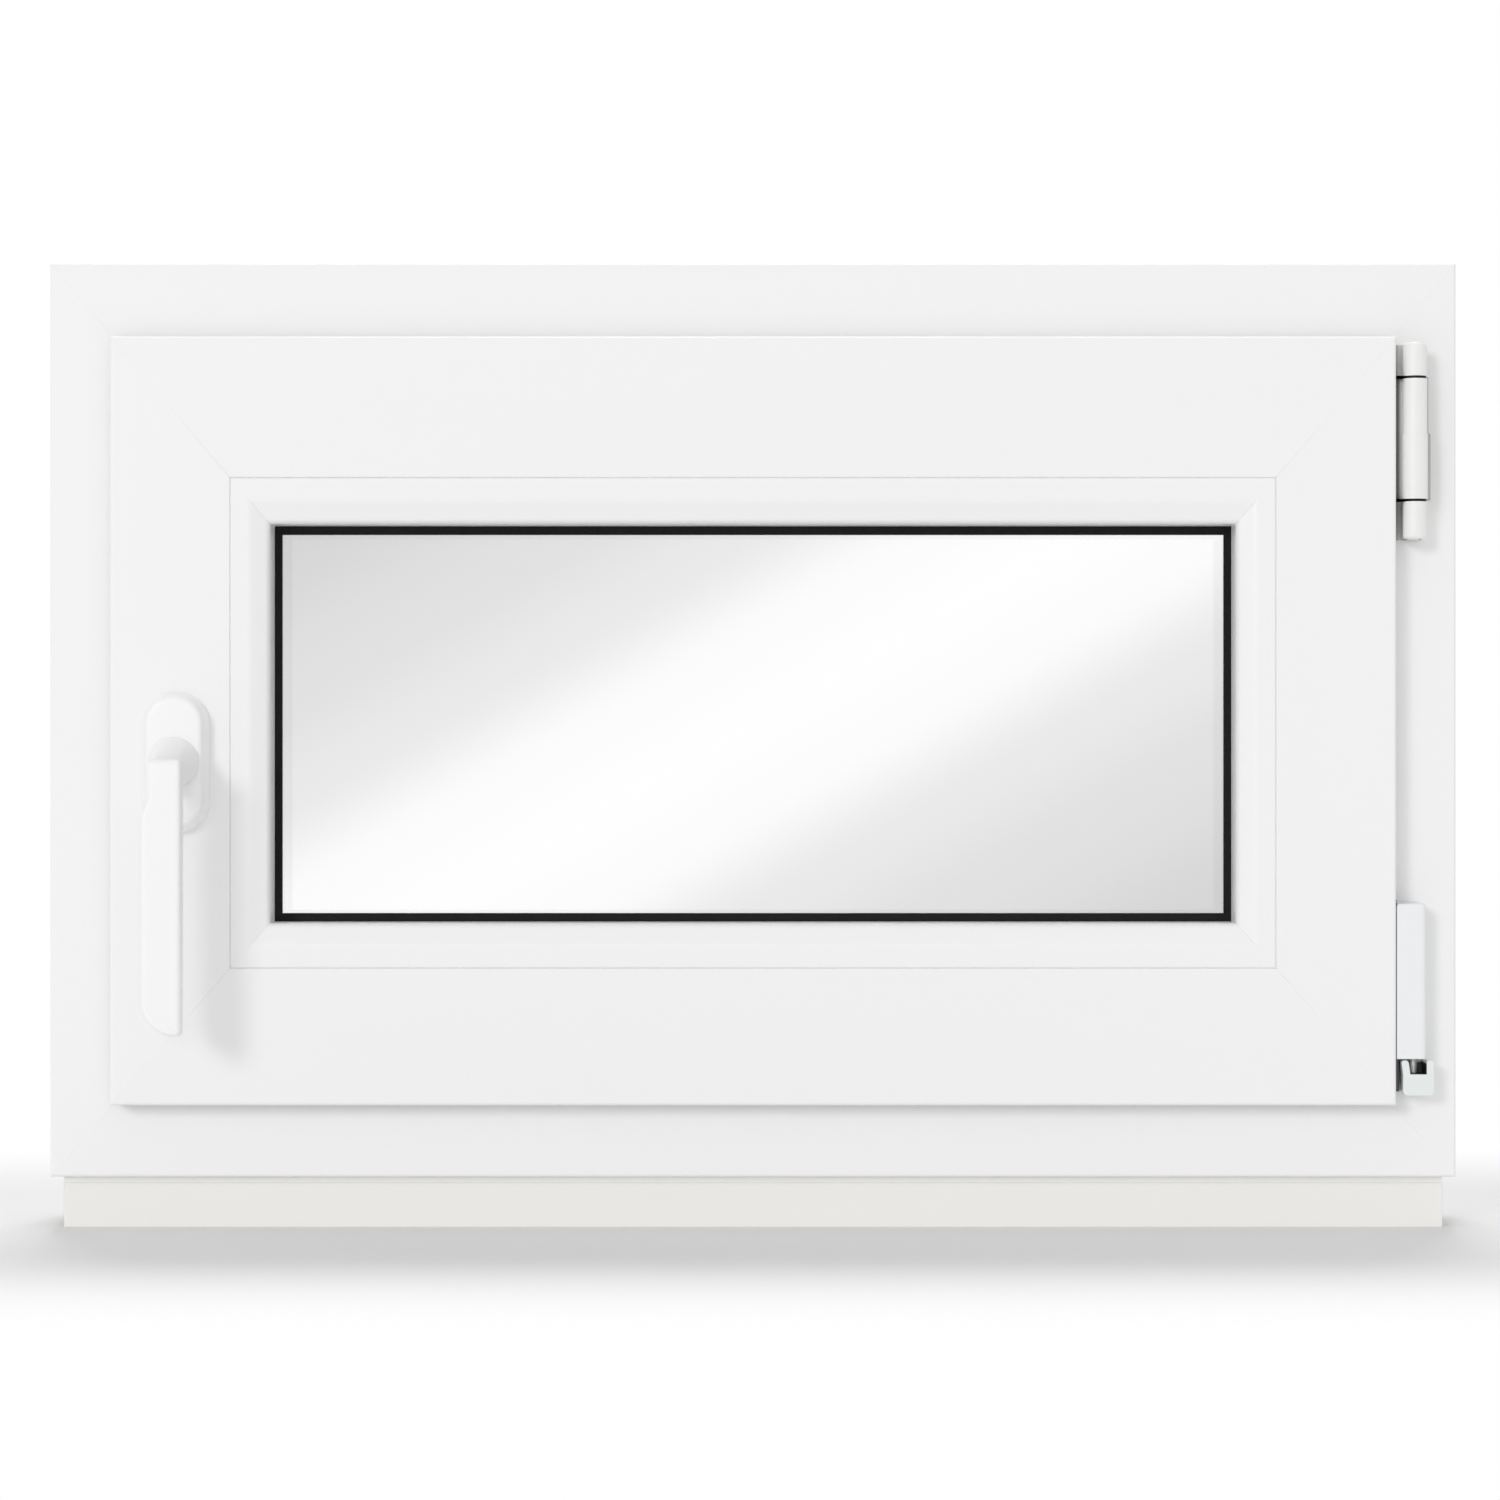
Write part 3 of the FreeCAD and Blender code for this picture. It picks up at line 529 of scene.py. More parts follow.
@cache
def white_plastic(run):
    """Smooth white extruded plastic with faint drawing lines along its run, upright or across."""
    finish = Finish("white_plastic_" + run)

    def along(factor):
        return (1, 1, factor) if run == "upright" else (factor, 1, 1)

    finish.shades(finish.noise(9, along(5)), bpy.context.scene.window_profiles.white, 0.004)
    finish.roughness(finish.noise(160, along(24)), 0.3, 0.4)
    finish.relief(finish.noise(70, along(24), detail=2), 0.00003)
    finish.relief(finish.noise(1500), 0.000008)
    finish.set(IOR=1.5)
    return finish.material


def sill_plastic():
    """Plainer, warmer plastic with die lines along X."""
    finish = Finish("sill_plastic")
    white = bpy.context.scene.window_profiles.sill_white
    finish.shades(finish.noise(14, (9, 1, 1), detail=5), white, 0.012)
    finish.roughness(finish.noise(300, (40, 1, 1)), 0.42, 0.56)
    finish.relief(finish.noise(260, (60, 1, 1), detail=4), 0.00008)
    return finish.material


@cache
def rubber(name, base):
    """Moulded rubber with a soft sheen."""
    finish = Finish(name)
    finish.shades(finish.noise(120), base, 0.2)
    finish.roughness(finish.noise(700), 0.38, 0.55)
    finish.relief(finish.noise(1800), 0.00003)
    finish.set(Specular_IOR_Level=0.16)
    return finish.material


def spacer_metal():
    """Drawn aluminium with a row of fine breathing holes."""
    finish = Finish("spacer_metal")
    finish.shades(finish.noise(200, (20, 1, 1)), bpy.context.scene.window_glazing.spacer, 0.08)
    finish.roughness(finish.noise(900, (20, 1, 1)), 0.25, 0.4)
    holes = add_node(finish.tree, "TexVoronoi", {"Vector": finish.place, "Scale": 420, "Randomness": 0})
    finish.relief(holes.outputs["Distance"], 0.0002)
    finish.set(Metallic=1.0)
    return finish.material


def clear_glass():
    """Float glass with a faint waviness."""
    finish = Finish("clear_glass")
    finish.shades(finish.noise(3), bpy.context.scene.window_glazing.glass, 0.002)
    finish.relief(finish.noise(8, detail=1), 0.000002)
    finish.set(Roughness=0.0, IOR=1.5, Transmission_Weight=1.0)
    return finish.material


@cache
def powder_coat():
    """White powder coat with a fine orange-peel surface."""
    finish = Finish("powder_coat")
    finish.shades(finish.noise(25), bpy.context.scene.window_handle.coat, 0.006)
    finish.roughness(finish.noise(400), 0.28, 0.34)
    finish.relief(finish.noise(420, detail=1), 0.0000025)
    return finish.material


def hinge_paint(name, base):
    """Thin satin paint on cast metal."""
    finish = Finish(name)
    finish.shades(finish.noise(60), base, 0.012)
    finish.roughness(finish.noise(500), 0.3, 0.42)
    finish.relief(finish.noise(900, detail=4), 0.00002)
    return finish.material


def cover_plastic():
    """Cool white moulded plastic."""
    finish = Finish("cover_plastic")
    finish.shades(finish.noise(18, (1, 1, 4)), bpy.context.scene.window_hinges.cover, 0.012)
    finish.roughness(finish.noise(350), 0.28, 0.38)
    finish.relief(finish.noise(1100), 0.00002)
    return finish.material


def drawn_steel(name, base, low, high):
    """Steel with fine upright drawing lines."""
    finish = Finish(name)
    finish.shades(finish.noise(900, (1, 1, 30), detail=5), base, 0.15)
    finish.roughness(finish.noise(1500, (1, 1, 20)), low, high)
    finish.relief(finish.noise(1800, (1, 1, 30)), 0.00003)
    finish.set(Metallic=1.0)
    return finish.material


def gap_shade_paint(sizes):
    """Paint in the bearing's gap with painted shade: dark beside the sash and paler beside the barrels."""
    finish = Finish("gap_shade_paint")
    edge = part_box("upper_hinge_sleeve")[0].x
    finish.fade(edge + sizes.gap_shade_start, edge + sizes.gap_shade_end, sizes.painted_shade_steel, sizes.gap_shaded_paint)
    finish.roughness(finish.noise(500), 0.4, 0.55)
    finish.relief(finish.noise(900, detail=4), 0.00002)
    return finish.material


# Mitred profiles: each length is modelled as if on the left, then turned to its side

Side = namedtuple("Side", "name run turn ratio length start_ratio end_ratio origin")

FRAME_WIDTH = HEAD_HIGH.x - HEAD_LOW.x
FRAME_HEIGHT = JAMB_HIGH.z - JAMB_LOW.z
FRAME_MIDDLE = (JAMB_HIGH.z + JAMB_LOW.z) / 2
SIDES = {
    side.name: side
    for side in (
        Side("left", "upright", 0, 1, FRAME_HEIGHT, FOOT_RATIO, HEAD_RATIO, (JAMB_LOW.x, FRAME_MIDDLE)),
        Side("right", "upright", 180, 1, FRAME_HEIGHT, HEAD_RATIO, FOOT_RATIO, (-JAMB_LOW.x, FRAME_MIDDLE)),
        Side("top", "across", 90, HEAD_RATIO, FRAME_WIDTH, 1, 1, (0, HEAD_HIGH.z)),
        Side("bottom", "across", 270, FOOT_RATIO, FRAME_WIDTH, 1, 1, (0, FOOT_LOW.z)),
    )
}


def start_length(name, side, first, last, depth):
    """A straight bar along one side, between two insets, and with spare length for the mitres."""
    half = side.length / 2 + SPARE_LENGTH
    return start_box(name, (first * side.ratio, 0, -half), (last * side.ratio, depth, half))


def round_runs(piece, places, radius, steps=ROUND_STEPS):
    """Round the long edges that pass through the given places of the section."""

    def is_run(edge):
        return not same(edge.verts[0].co.z, edge.verts[1].co.z) and any(
            all_at(edge, x=across, y=depth) for across, depth in places
        )

    round_edges(piece, is_run, radius, steps)


def mitre(piece, side, chamfer):
    """Cut both ends to the mitres, with a fine chamfer round each cut."""
    for sign, ratio in ((1, side.end_ratio), (-1, side.start_ratio)):
        outward = Vector((ratio / side.ratio, 0, sign)).normalized()
        cut_off(piece, (0, 0, sign * side.length / 2), outward)
        round_edges(piece, lambda edge: any(map(facing(outward), edge.link_faces)), chamfer, steps=1)


def set_in_place(piece, side, room_face):
    """Turn a length to its side of the window."""
    select_only(piece)
    piece.rotation_euler.y = math.radians(side.turn)
    piece.location = (side.origin[0], room_face, side.origin[1])
    bpy.ops.object.transform_apply(location=True, rotation=True, scale=True)


def frame_length(side, node, sizes):
    """A length of the frame: a room-side lip, an outdoor stop and two anchor grooves."""
    lip = sizes.lip_reach * side.ratio
    stop = STOP_REACH * side.ratio
    lean = sizes.stop_bevel * side.ratio
    piece = start_length(node + "_profile", side, 0, sizes.lip_reach, FRAME_DEPTH)
    slice_at(piece, Y, sizes.stop_start)
    extrude(
        piece, lambda face: all_at(face, x=lip) and middle(face).y > sizes.stop_start, (stop - lip, 0, 0)
    )
    shift(piece, lambda vert: at(vert, x=stop, y=FRAME_DEPTH), (-lean, 0, 0))
    far_groove = FRAME_DEPTH - sizes.groove_inset - sizes.groove_width
    for near in (sizes.groove_inset, far_groove):
        far = near + sizes.groove_width
        slice_at(piece, Y, near)
        slice_at(piece, Y, far)
        extrude(
            piece,
            lambda face: all_at(face, x=0) and near < middle(face).y < far,
            (sizes.groove_depth * side.ratio, 0, 0),
        )
    round_runs(piece, [(0, 0), (0, FRAME_DEPTH), (stop - lean, FRAME_DEPTH)], sizes.edge_round)
    round_runs(piece, [(lip, 0)], sizes.fine_round)
    mitre(piece, side, sizes.weld_chamfer)
    set_in_place(piece, side, JAMB_LOW.y)
    finish_piece(piece, [node], white_plastic(side.run))


def sash_length(side, node, sizes):
    """A length of the sash: a flange over the frame, a body, and a leg behind the glass."""
    body = sizes.sash_body * side.ratio
    seat = BEAD_EDGE * side.ratio
    leg = GASKET_EDGE * side.ratio
    lean = sizes.leg_bevel * side.ratio
    piece = start_length(node + "_profile", side, REVEAL, BEAD_EDGE, sizes.flange_depth)
    slice_at(piece, X, body)
    for depth in (sizes.glass_seat - sizes.flange_depth, SASH_DEPTH - sizes.glass_seat):
        extrude(piece, lambda face: facing(Y)(face) and middle(face).x > body, (0, depth, 0))
    extrude(
        piece, lambda face: all_at(face, x=seat) and middle(face).y > sizes.glass_seat, (leg - seat, 0, 0)
    )
    shift(piece, lambda vert: at(vert, x=leg, y=SASH_DEPTH), (-lean, 0, 0))
    outer = REVEAL * side.ratio
    round_runs(piece, [(outer, 0), (body, SASH_DEPTH), (leg - lean, SASH_DEPTH)], sizes.edge_round)
    round_runs(piece, [(outer, sizes.flange_depth), (leg, sizes.glass_seat)], sizes.fine_round)
    round_runs(piece, [(seat, 0)], sizes.bead_chamfer, steps=1)
    mitre(piece, side, sizes.weld_chamfer)
    set_in_place(piece, side, STILE_LOW.y)
    if side.name == "left":
        low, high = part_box("handle_spindle")
        axis = (low + high) / 2
        foot = (axis.x, STILE_LOW.y + sizes.bore_depth, axis.z)
        mouth = (axis.x, STILE_LOW.y - sizes.edge_round, axis.z)
        carve(piece, start_rod("spindle_bore", foot, mouth, sizes.bore / 2, along=Y))
    finish_piece(piece, [node], white_plastic(side.run))


def bead_length(side, node, sizes):
    """A length of glazing bead: flat, then a gentle slope, then a steep edge down to the glass."""
    outer = BEAD_EDGE * side.ratio
    inner = GASKET_EDGE * side.ratio
    flat_end = (BEAD_EDGE + sizes.bead_flat) * side.ratio
    slope_end = (BEAD_EDGE + sizes.bead_flat + sizes.bead_slope) * side.ratio
    piece = start_length(node + "_profile", side, BEAD_EDGE, GASKET_EDGE, BEAD_DEPTH)
    slice_at(piece, X, flat_end)
    shift(piece, lambda vert: at(vert, x=inner, y=0), (slope_end - inner, sizes.bead_drop, 0))
    round_runs(piece, [(outer, 0)], sizes.bead_chamfer, steps=1)
    round_runs(piece, [(flat_end, 0)], sizes.bead_softening)
    round_runs(piece, [(slope_end, sizes.bead_drop)], sizes.bead_nose, WIDE_STEPS)
    mitre(piece, side, sizes.weld_chamfer)
    set_in_place(piece, side, BEAD_LOW.y)
    finish_piece(piece, [node], white_plastic(side.run))


# Gaskets and sill


def make_gasket(name, node, width, sizes, room_side):
    """A black ring with a lip that falls towards the glass."""
    low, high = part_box(node)
    left = low.x + width
    right = high.x - width
    foot = low.z + width * FOOT_RATIO
    top = high.z - width * HEAD_RATIO
    piece = start_box(name, low, high)
    for direction, distance in ((X, left), (X, right), (Z, foot), (Z, top)):
        slice_at(piece, direction, distance)

    def is_opening(face):
        place = middle(face)
        return abs(face.normal.y) > FACING and left < place.x < right and foot < place.z < top

    join_through(piece, is_opening)
    front, fall = (low.y, sizes.lip_fall) if room_side else (high.y, -sizes.lip_fall)

    def on_lip(vert):
        within = left - TOUCH < vert.co.x < right + TOUCH and foot - TOUCH < vert.co.z < top + TOUCH
        return same(vert.co.y, front) and within

    shift(piece, on_lip, (0, fall, 0))

    def on_rim(vert):
        return any(at(vert, x=side) for side in (left, right)) or any(at(vert, z=end) for end in (foot, top))

    round_edges(
        piece, lambda edge: all_at(edge, y=front + fall) and all(map(on_rim, edge.verts)), sizes.lip_round
    )
    finish_piece(piece, [node], rubber("gasket_rubber", tuple(sizes.rubber)))


def make_sill(sizes):
    """The hollow extrusion under the frame, with three chambers and a set-back neck."""
    low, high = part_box("sill_profile")
    shoulder = high.z - sizes.sill_neck_height
    piece = start_box("sill_extrusion", low, (high.x, high.y, shoulder))
    narrowing = (high.y - sizes.sill_neck_setback) / high.y
    with picked(piece, "FACE", facing(Z)):
        bpy.ops.mesh.extrude_region_move()
        bpy.ops.transform.resize(value=(1, narrowing, 1), center_override=(0, 0, 0))
        bpy.ops.mesh.extrude_region_move(TRANSFORM_OT_translate={"value": (0, 0, sizes.sill_neck_height)})
    round_edges(
        piece,
        lambda edge: all_at(edge, y=low.y) or all_at(edge, y=high.y) and not same(middle(edge).x, 0),
        sizes.fine_round / 2,
        steps=2,
    )
    chambers = 3
    pitch = (high.y - low.y - sizes.sill_wall) / chambers
    for index in range(chambers):
        near = low.y + sizes.sill_wall + index * pitch
        first = (low.x - sizes.sill_wall, near, low.z + sizes.sill_wall)
        last = (high.x + sizes.sill_wall, near + pitch - sizes.sill_wall, shoulder - sizes.sill_wall)
        carve(piece, start_box("chamber", first, last))
    finish_piece(piece, ["sill_profile"], sill_plastic())


def make_drain_cap(side, sizes):
    """A hood with a sloping top and an open foot over a drain slot, outdoors."""
    node = "drain_cap_" + side
    low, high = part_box(node)
    piece = start_box(f"drain_hood_{side}", low, high)
    slope = high.y - low.y
    shift(piece, lambda vert: at(vert, y=high.y, z=high.z), (0, 0, -slope))
    inset(piece, facing(-Z), sizes.cap_rim)
    extrude(piece, lambda face: facing(-Z)(face) and not touches(face, low.y), (0, 0, slope))
    round_edges(piece, lambda edge: touches(edge, high.y) and not all_at(edge, z=low.z), sizes.fine_round)
    finish_piece(piece, [node], white_plastic("across"))


def touches(item, depth):
    """True where an edge or face has a corner at a depth."""
    return any(at(vert, y=depth) for vert in item.verts)


# Handle


def make_rosette(sizes, bore):
    """The oblong base: a cover with leaning sides over a fine shadow gap."""
    low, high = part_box("handle_rosette")
    centre = (low + high) / 2
    radius = (high.x - low.x) / 2
    spread = (high.z - low.z) / 2 - radius
    back = high.y - sizes.base_lift
    foot = (centre.x, back, centre.z)
    front = (centre.x, back - sizes.base_edge, centre.z)
    piece = start_rod("rosette_cover", foot, front, radius, along=Y)
    for sign in (1, -1):
        shift(piece, lambda vert: (vert.co.z - centre.z) * sign > TOUCH, (0, 0, sign * spread))
    inset(piece, facing(Y), sizes.base_lift, depth=sizes.base_lift)
    inset(piece, facing(-Y), sizes.cover_lean, depth=front[1] - low.y)
    round_edges(piece, lying_at(y=low.y), sizes.cover_round)
    behind = (centre.x, high.y + sizes.base_edge, centre.z)
    before = (centre.x, low.y - sizes.base_edge, centre.z)
    carve(piece, start_rod("rosette_bore", behind, before, bore / 2, along=Y))
    finish_piece(piece, ["handle_rosette"], powder_coat())


def make_lever(sizes):
    """The lever: a boss that tapers out from the base, and a grip that hangs from it at rest."""
    low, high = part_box("handle_lever")
    spindle_low, spindle_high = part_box("handle_spindle")
    axis = (spindle_low + spindle_high) / 2
    back = low.y + sizes.grip_thickness
    seam_top = axis.z - sizes.boss_end_drop
    piece = make_grip(sizes, low, back, axis)
    carve(piece, make_boss(sizes, low, high, axis), "UNION")
    round_edges(
        piece,
        lambda edge: all_at(edge, y=back) and middle(edge).z < seam_top and is_flat_on_one_side(edge),
        sizes.elbow_round,
    )
    finish_piece(piece, ["handle_lever"], powder_coat(), body="handle")


def make_grip(sizes, low, back, axis):
    """The flat grip: narrow beside the boss, wider below, and curved at its tip."""
    left = axis.x - sizes.blade_left
    right = axis.x + sizes.blade_right
    grip_left = axis.x - sizes.grip_left
    nose = axis.z + sizes.nose_rise
    step_start = axis.z - sizes.step_start
    step_end = axis.z - sizes.step_end
    widening = grip_left - left
    piece = start_box("lever", (left, low.y, step_start), (right, back, nose))
    extrude(piece, lying_at(z=step_start), (0, 0, step_end - step_start))
    extrude(piece, lying_at(z=step_end), (0, 0, low.z - step_end))
    shift(piece, lambda vert: same(vert.co.x, left) and vert.co.z < step_end + TOUCH, (widening, 0, 0))
    shift(piece, lambda vert: at(vert, y=back, z=low.z), (0, -sizes.tip_thinning, 0))
    round_edges(piece, lying_at(y=low.y, z=nose), sizes.nose_round, WIDE_STEPS)
    round_edges(piece, lying_at(x=grip_left, z=low.z), sizes.tip_round, steps=10)
    round_edges(piece, lying_at(x=right, z=low.z), sizes.tip_corner)
    round_edges(piece, is_grip_rim, sizes.rim_round, steps=5)
    return piece


# A wall of the grip's round tip looks down at least this much
DOWNWARD = 0.3


def is_grip_rim(edge):
    """True for an edge between the grip's front or back and one of its sides."""

    def is_wall(face):
        looks_down = face.normal.z < -DOWNWARD and abs(face.normal.y) < ASIDE
        return abs(face.normal.x) > ASIDE or looks_down

    first, second = edge.link_faces
    return is_wall(first) != is_wall(second)


def is_flat_on_one_side(edge):
    """True for an edge where the boss meets the flat back of the grip."""
    first, second = (facing(Y)(face) for face in edge.link_faces)
    return first != second


def make_boss(sizes, low, high, axis):
    """The round boss, which tapers and turns down into the grip."""
    end_y = low.y + sizes.boss_end_gap
    end_shift = (sizes.blade_right - sizes.blade_left) / 2
    taper = sizes.boss_end_radius / sizes.boss_radius
    boss = start_rod("boss", (axis.x, high.y, axis.z), (axis.x, end_y, axis.z), sizes.boss_radius, along=Y)
    with picked(boss, "VERT", lambda vert: at(vert, y=end_y)):
        bpy.ops.transform.resize(value=(taper, 1, taper), center_override=axis)
        bpy.ops.transform.translate(value=(end_shift, 0, -sizes.boss_end_drop))
    return boss


# Hinges


def make_knuckle(sizes, paint):
    """The knuckle on the frame, with a foot that reaches back to it."""
    low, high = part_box("upper_hinge_bracket")
    axis, radius = bearing_axis()
    top = joint_heights()[0] - sizes.ring_height / 2
    piece = start_barrel("hinge_knuckle", low.z, top, radius)
    back_share = 0.6
    extrude_to(piece, lambda face: face.normal.y > back_share, 1, high.y)
    inset(piece, lambda face: facing(Z)(face) and near_axis(face, axis), radius - sizes.pin_radius)
    sink_bore(piece, Z, axis, sizes)

    def is_lower_edge(edge):
        outer = any(abs(face.normal.z) < ASIDE for face in edge.link_faces)
        return all_at(edge, z=low.z) and outer and not all_at(edge, y=high.y)

    round_edges(piece, is_lower_edge, sizes.barrel_round)
    finish_piece(piece, ["upper_hinge_bracket"], paint)


def bearing_axis():
    """The bearing's axis and the radius of its knuckle and cap."""
    low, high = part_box("upper_hinge_pin")
    cap_low, cap_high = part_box("upper_hinge_cap")
    return (low + high) / 2, (cap_high.x - cap_low.x) / 2


def start_barrel(name, foot, top, radius):
    """A round bar on the bearing's axis, between two heights."""
    axis, _ = bearing_axis()
    return start_rod(name, (axis.x, axis.y, foot), (axis.x, axis.y, top), radius)


def sink_bore(piece, mouth, axis, sizes):
    """Sink the bearing pin's bore into the end of a barrel, from the face that points to its mouth."""
    extrude(
        piece,
        lambda face: facing(mouth)(face) and is_within(face, axis, sizes.pin_radius),
        -mouth * sizes.pin_reach,
    )


def joint_heights():
    """Heights of the joints below and above the sleeve."""
    low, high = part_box("upper_hinge_sleeve")
    return (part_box("upper_hinge_bracket")[1].z + low.z) / 2, (high.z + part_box("upper_hinge_cap")[0].z) / 2


def near_axis(face, axis):
    """True where a face is centred on the bearing's axis."""
    place = middle(face)
    return math.hypot(place.x - axis.x, place.y - axis.y) < 10 * TOUCH


def is_within(face, axis, radius):
    """True where a face lies within a radius of the bearing's axis."""
    return all(math.hypot(vert.co.x - axis.x, vert.co.y - axis.y) < radius + TOUCH for vert in face.verts)


def add_web(piece, near, far, reach):
    """Draw the left of a barrel out to a flat end, between two depths."""
    for depth in (near, far):
        slice_at(piece, Y, depth)

    def is_on_left(face):
        place = middle(face)
        return face.normal.x < 0 and near < place.y < far and abs(face.normal.z) < ASIDE

    extrude_to(piece, is_on_left, 0, reach)


def bore_through(piece, axis, ring):
    """Join the middles of a barrel's two ends, a ring's width in from its edge."""
    with picked(piece, "FACE", lambda face: abs(face.normal.z) > FACING and near_axis(face, axis)):
        bpy.ops.mesh.inset(thickness=ring, use_individual=True)
        bpy.ops.mesh.bridge_edge_loops()


def make_sleeve(sizes, paint, gap_shade_material):
    """The sleeve on the sash's stay arm: a wider collar below, and the arm's end beside it."""
    low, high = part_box("upper_hinge_sleeve")
    axis, _ = bearing_axis()
    radius = high.x - axis.x
    lower_joint, upper_joint = joint_heights()
    foot = lower_joint + sizes.ring_height / 2
    top = upper_joint - sizes.ring_height / 2
    piece = start_barrel("hinge_sleeve", foot, top, radius)
    collar_top = foot + sizes.collar_height
    slice_at(piece, Z, collar_top)
    slice_at(piece, Z, collar_top + sizes.collar_lead)
    slimmer = (radius - sizes.collar_step) / radius
    with picked(piece, "VERT", lambda vert: vert.co.z > collar_top + TOUCH):
        bpy.ops.transform.resize(value=(slimmer, slimmer, 1), center_override=(axis.x, axis.y, 0))
    bore_through(piece, axis, radius - sizes.collar_step - sizes.pin_radius)
    finish_piece(piece, ["upper_hinge_sleeve"], paint)
    arm_room = axis.y + sizes.arm_setback
    first = (low.x, arm_room, foot)
    last = (axis.x - sizes.pin_radius - sizes.arm_gap, arm_room + sizes.arm_thickness, top)
    arm = start_box("stay_arm_end", first, last)
    round_edges(arm, lying_at(x=low.x), sizes.pin_chamfer)
    # The arm's end takes the gap's painted shade
    finish_piece(arm, ["upper_hinge_sleeve"], gap_shade_material)


def make_sleeve_clip(sizes):
    """The grey clip down the sleeve's right side, which steps out with the collar; its grey also paints the
    shade line along that edge.
    """
    _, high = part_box("upper_hinge_sleeve")
    axis, _ = bearing_axis()
    foot, top = joint_heights()
    right = high.x + sizes.clip_reach
    first = (high.x - sizes.clip_root, axis.y - sizes.clip_depth / 2, foot)
    piece = start_box("sleeve_clip", first, (right, axis.y + sizes.clip_depth / 2, top))
    collar_top = foot + sizes.ring_height / 2 + sizes.collar_height
    slice_at(piece, Z, collar_top)
    slice_at(piece, Z, collar_top + sizes.collar_lead)
    step = sizes.clip_reach + sizes.collar_step - sizes.clip_edge
    shift(piece, lambda vert: same(vert.co.x, right) and vert.co.z > collar_top + TOUCH, (-step, 0, 0))
    finish_piece(piece, [], hinge_paint("clip_plastic_and_shade", sizes.clip))


def make_bearing_rings(sizes, dark):
    """A dark ring in each joint of the bearing, on a flat arm that reaches to the sash."""
    axis, radius = bearing_axis()
    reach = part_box("upper_hinge_sleeve")[0].x
    ring_radius = radius - sizes.ring_setback
    for name, height in zip(("lower", "upper"), joint_heights()):
        foot = height - sizes.ring_height / 2
        piece = start_barrel(f"bearing_ring_{name}", foot, foot + sizes.ring_height, ring_radius)
        bore_through(piece, axis, ring_radius - sizes.pin_radius)
        add_web(piece, axis.y - sizes.ring_half_width, axis.y + sizes.ring_half_width, reach)
        finish_piece(piece, [], dark)


def make_bearing_plate(sizes, gap_shade_material):
    """The plate behind the bearing, in the gap's painted shade, which shows as a dark line beside the sash.
    """
    knuckle_low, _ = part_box("upper_hinge_bracket")
    _, cap_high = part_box("upper_hinge_cap")
    left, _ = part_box("upper_hinge_sleeve")
    axis, radius = bearing_axis()
    first = (left.x + sizes.plate_thickness, JAMB_LOW.y - sizes.plate_thickness, knuckle_low.z)
    last = (axis.x + radius - sizes.plate_thickness, JAMB_LOW.y, cap_high.z)
    piece = start_box("bearing_plate", first, last)
    round_edges(piece, lambda edge: not same(edge.verts[0].co.y, edge.verts[1].co.y), sizes.barrel_round)
    round_edges(piece, lying_at(y=first[1]), sizes.pin_chamfer, steps=2)
    finish_piece(piece, [], gap_shade_material)


def make_hinge_cap(sizes, paint):
    """The domed cap over the end of the bearing's pin."""
    _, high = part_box("upper_hinge_cap")
    axis, radius = bearing_axis()
    foot = joint_heights()[1] + sizes.ring_height / 2
    piece = start_barrel("hinge_cap", foot, high.z, radius)
    inset(piece, facing(-Z), radius - sizes.pin_radius)
    sink_bore(piece, -Z, axis, sizes)
    round_edges(piece, lying_at(z=high.z), sizes.cap_dome, WIDE_STEPS)
    finish_piece(piece, ["upper_hinge_cap"], paint)


def make_corner_cover(sizes):
    """The long cover on the sash's edge over the corner hinge."""
    low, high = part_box("lower_hinge_cover")
    left = low.x + sizes.edge_strip
    piece = start_box("corner_cover", (left, low.y, low.z), high)
    round_edges(piece, lying_at(x=high.x, y=low.y), sizes.cover_round, WIDE_STEPS)
    round_edges(piece, lying_at(x=left, y=low.y), sizes.cover_fine)

    def free_edge(height):
        """A test for the edges at a height that lie neither on the sash nor on the frame."""
        return lambda edge: all_at(edge, z=height) and not all_at(edge, x=left) and not all_at(edge, y=high.y)

    round_edges(piece, free_edge(high.z), sizes.cover_shoulder, WIDE_STEPS)
    round_edges(piece, free_edge(low.z), sizes.cover_fine)
    finish_piece(piece, ["lower_hinge_cover"], cover_plastic())


def make_edge_strip(sizes, dark):
    """A dark strip in the joint of sash and corner cover; its dark paints the shadow line of that joint."""
    low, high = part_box("lower_hinge_cover")
    first = (low.x, low.y + sizes.edge_strip_setback, low.z)
    last = (low.x + sizes.edge_strip, high.y, high.z + sizes.edge_strip_rise)
    piece = start_box("corner_edge_strip", first, last)
    round_edges(piece, lying_at(y=first[1]), sizes.edge_strip / 4, steps=2)
    finish_piece(piece, [], dark)


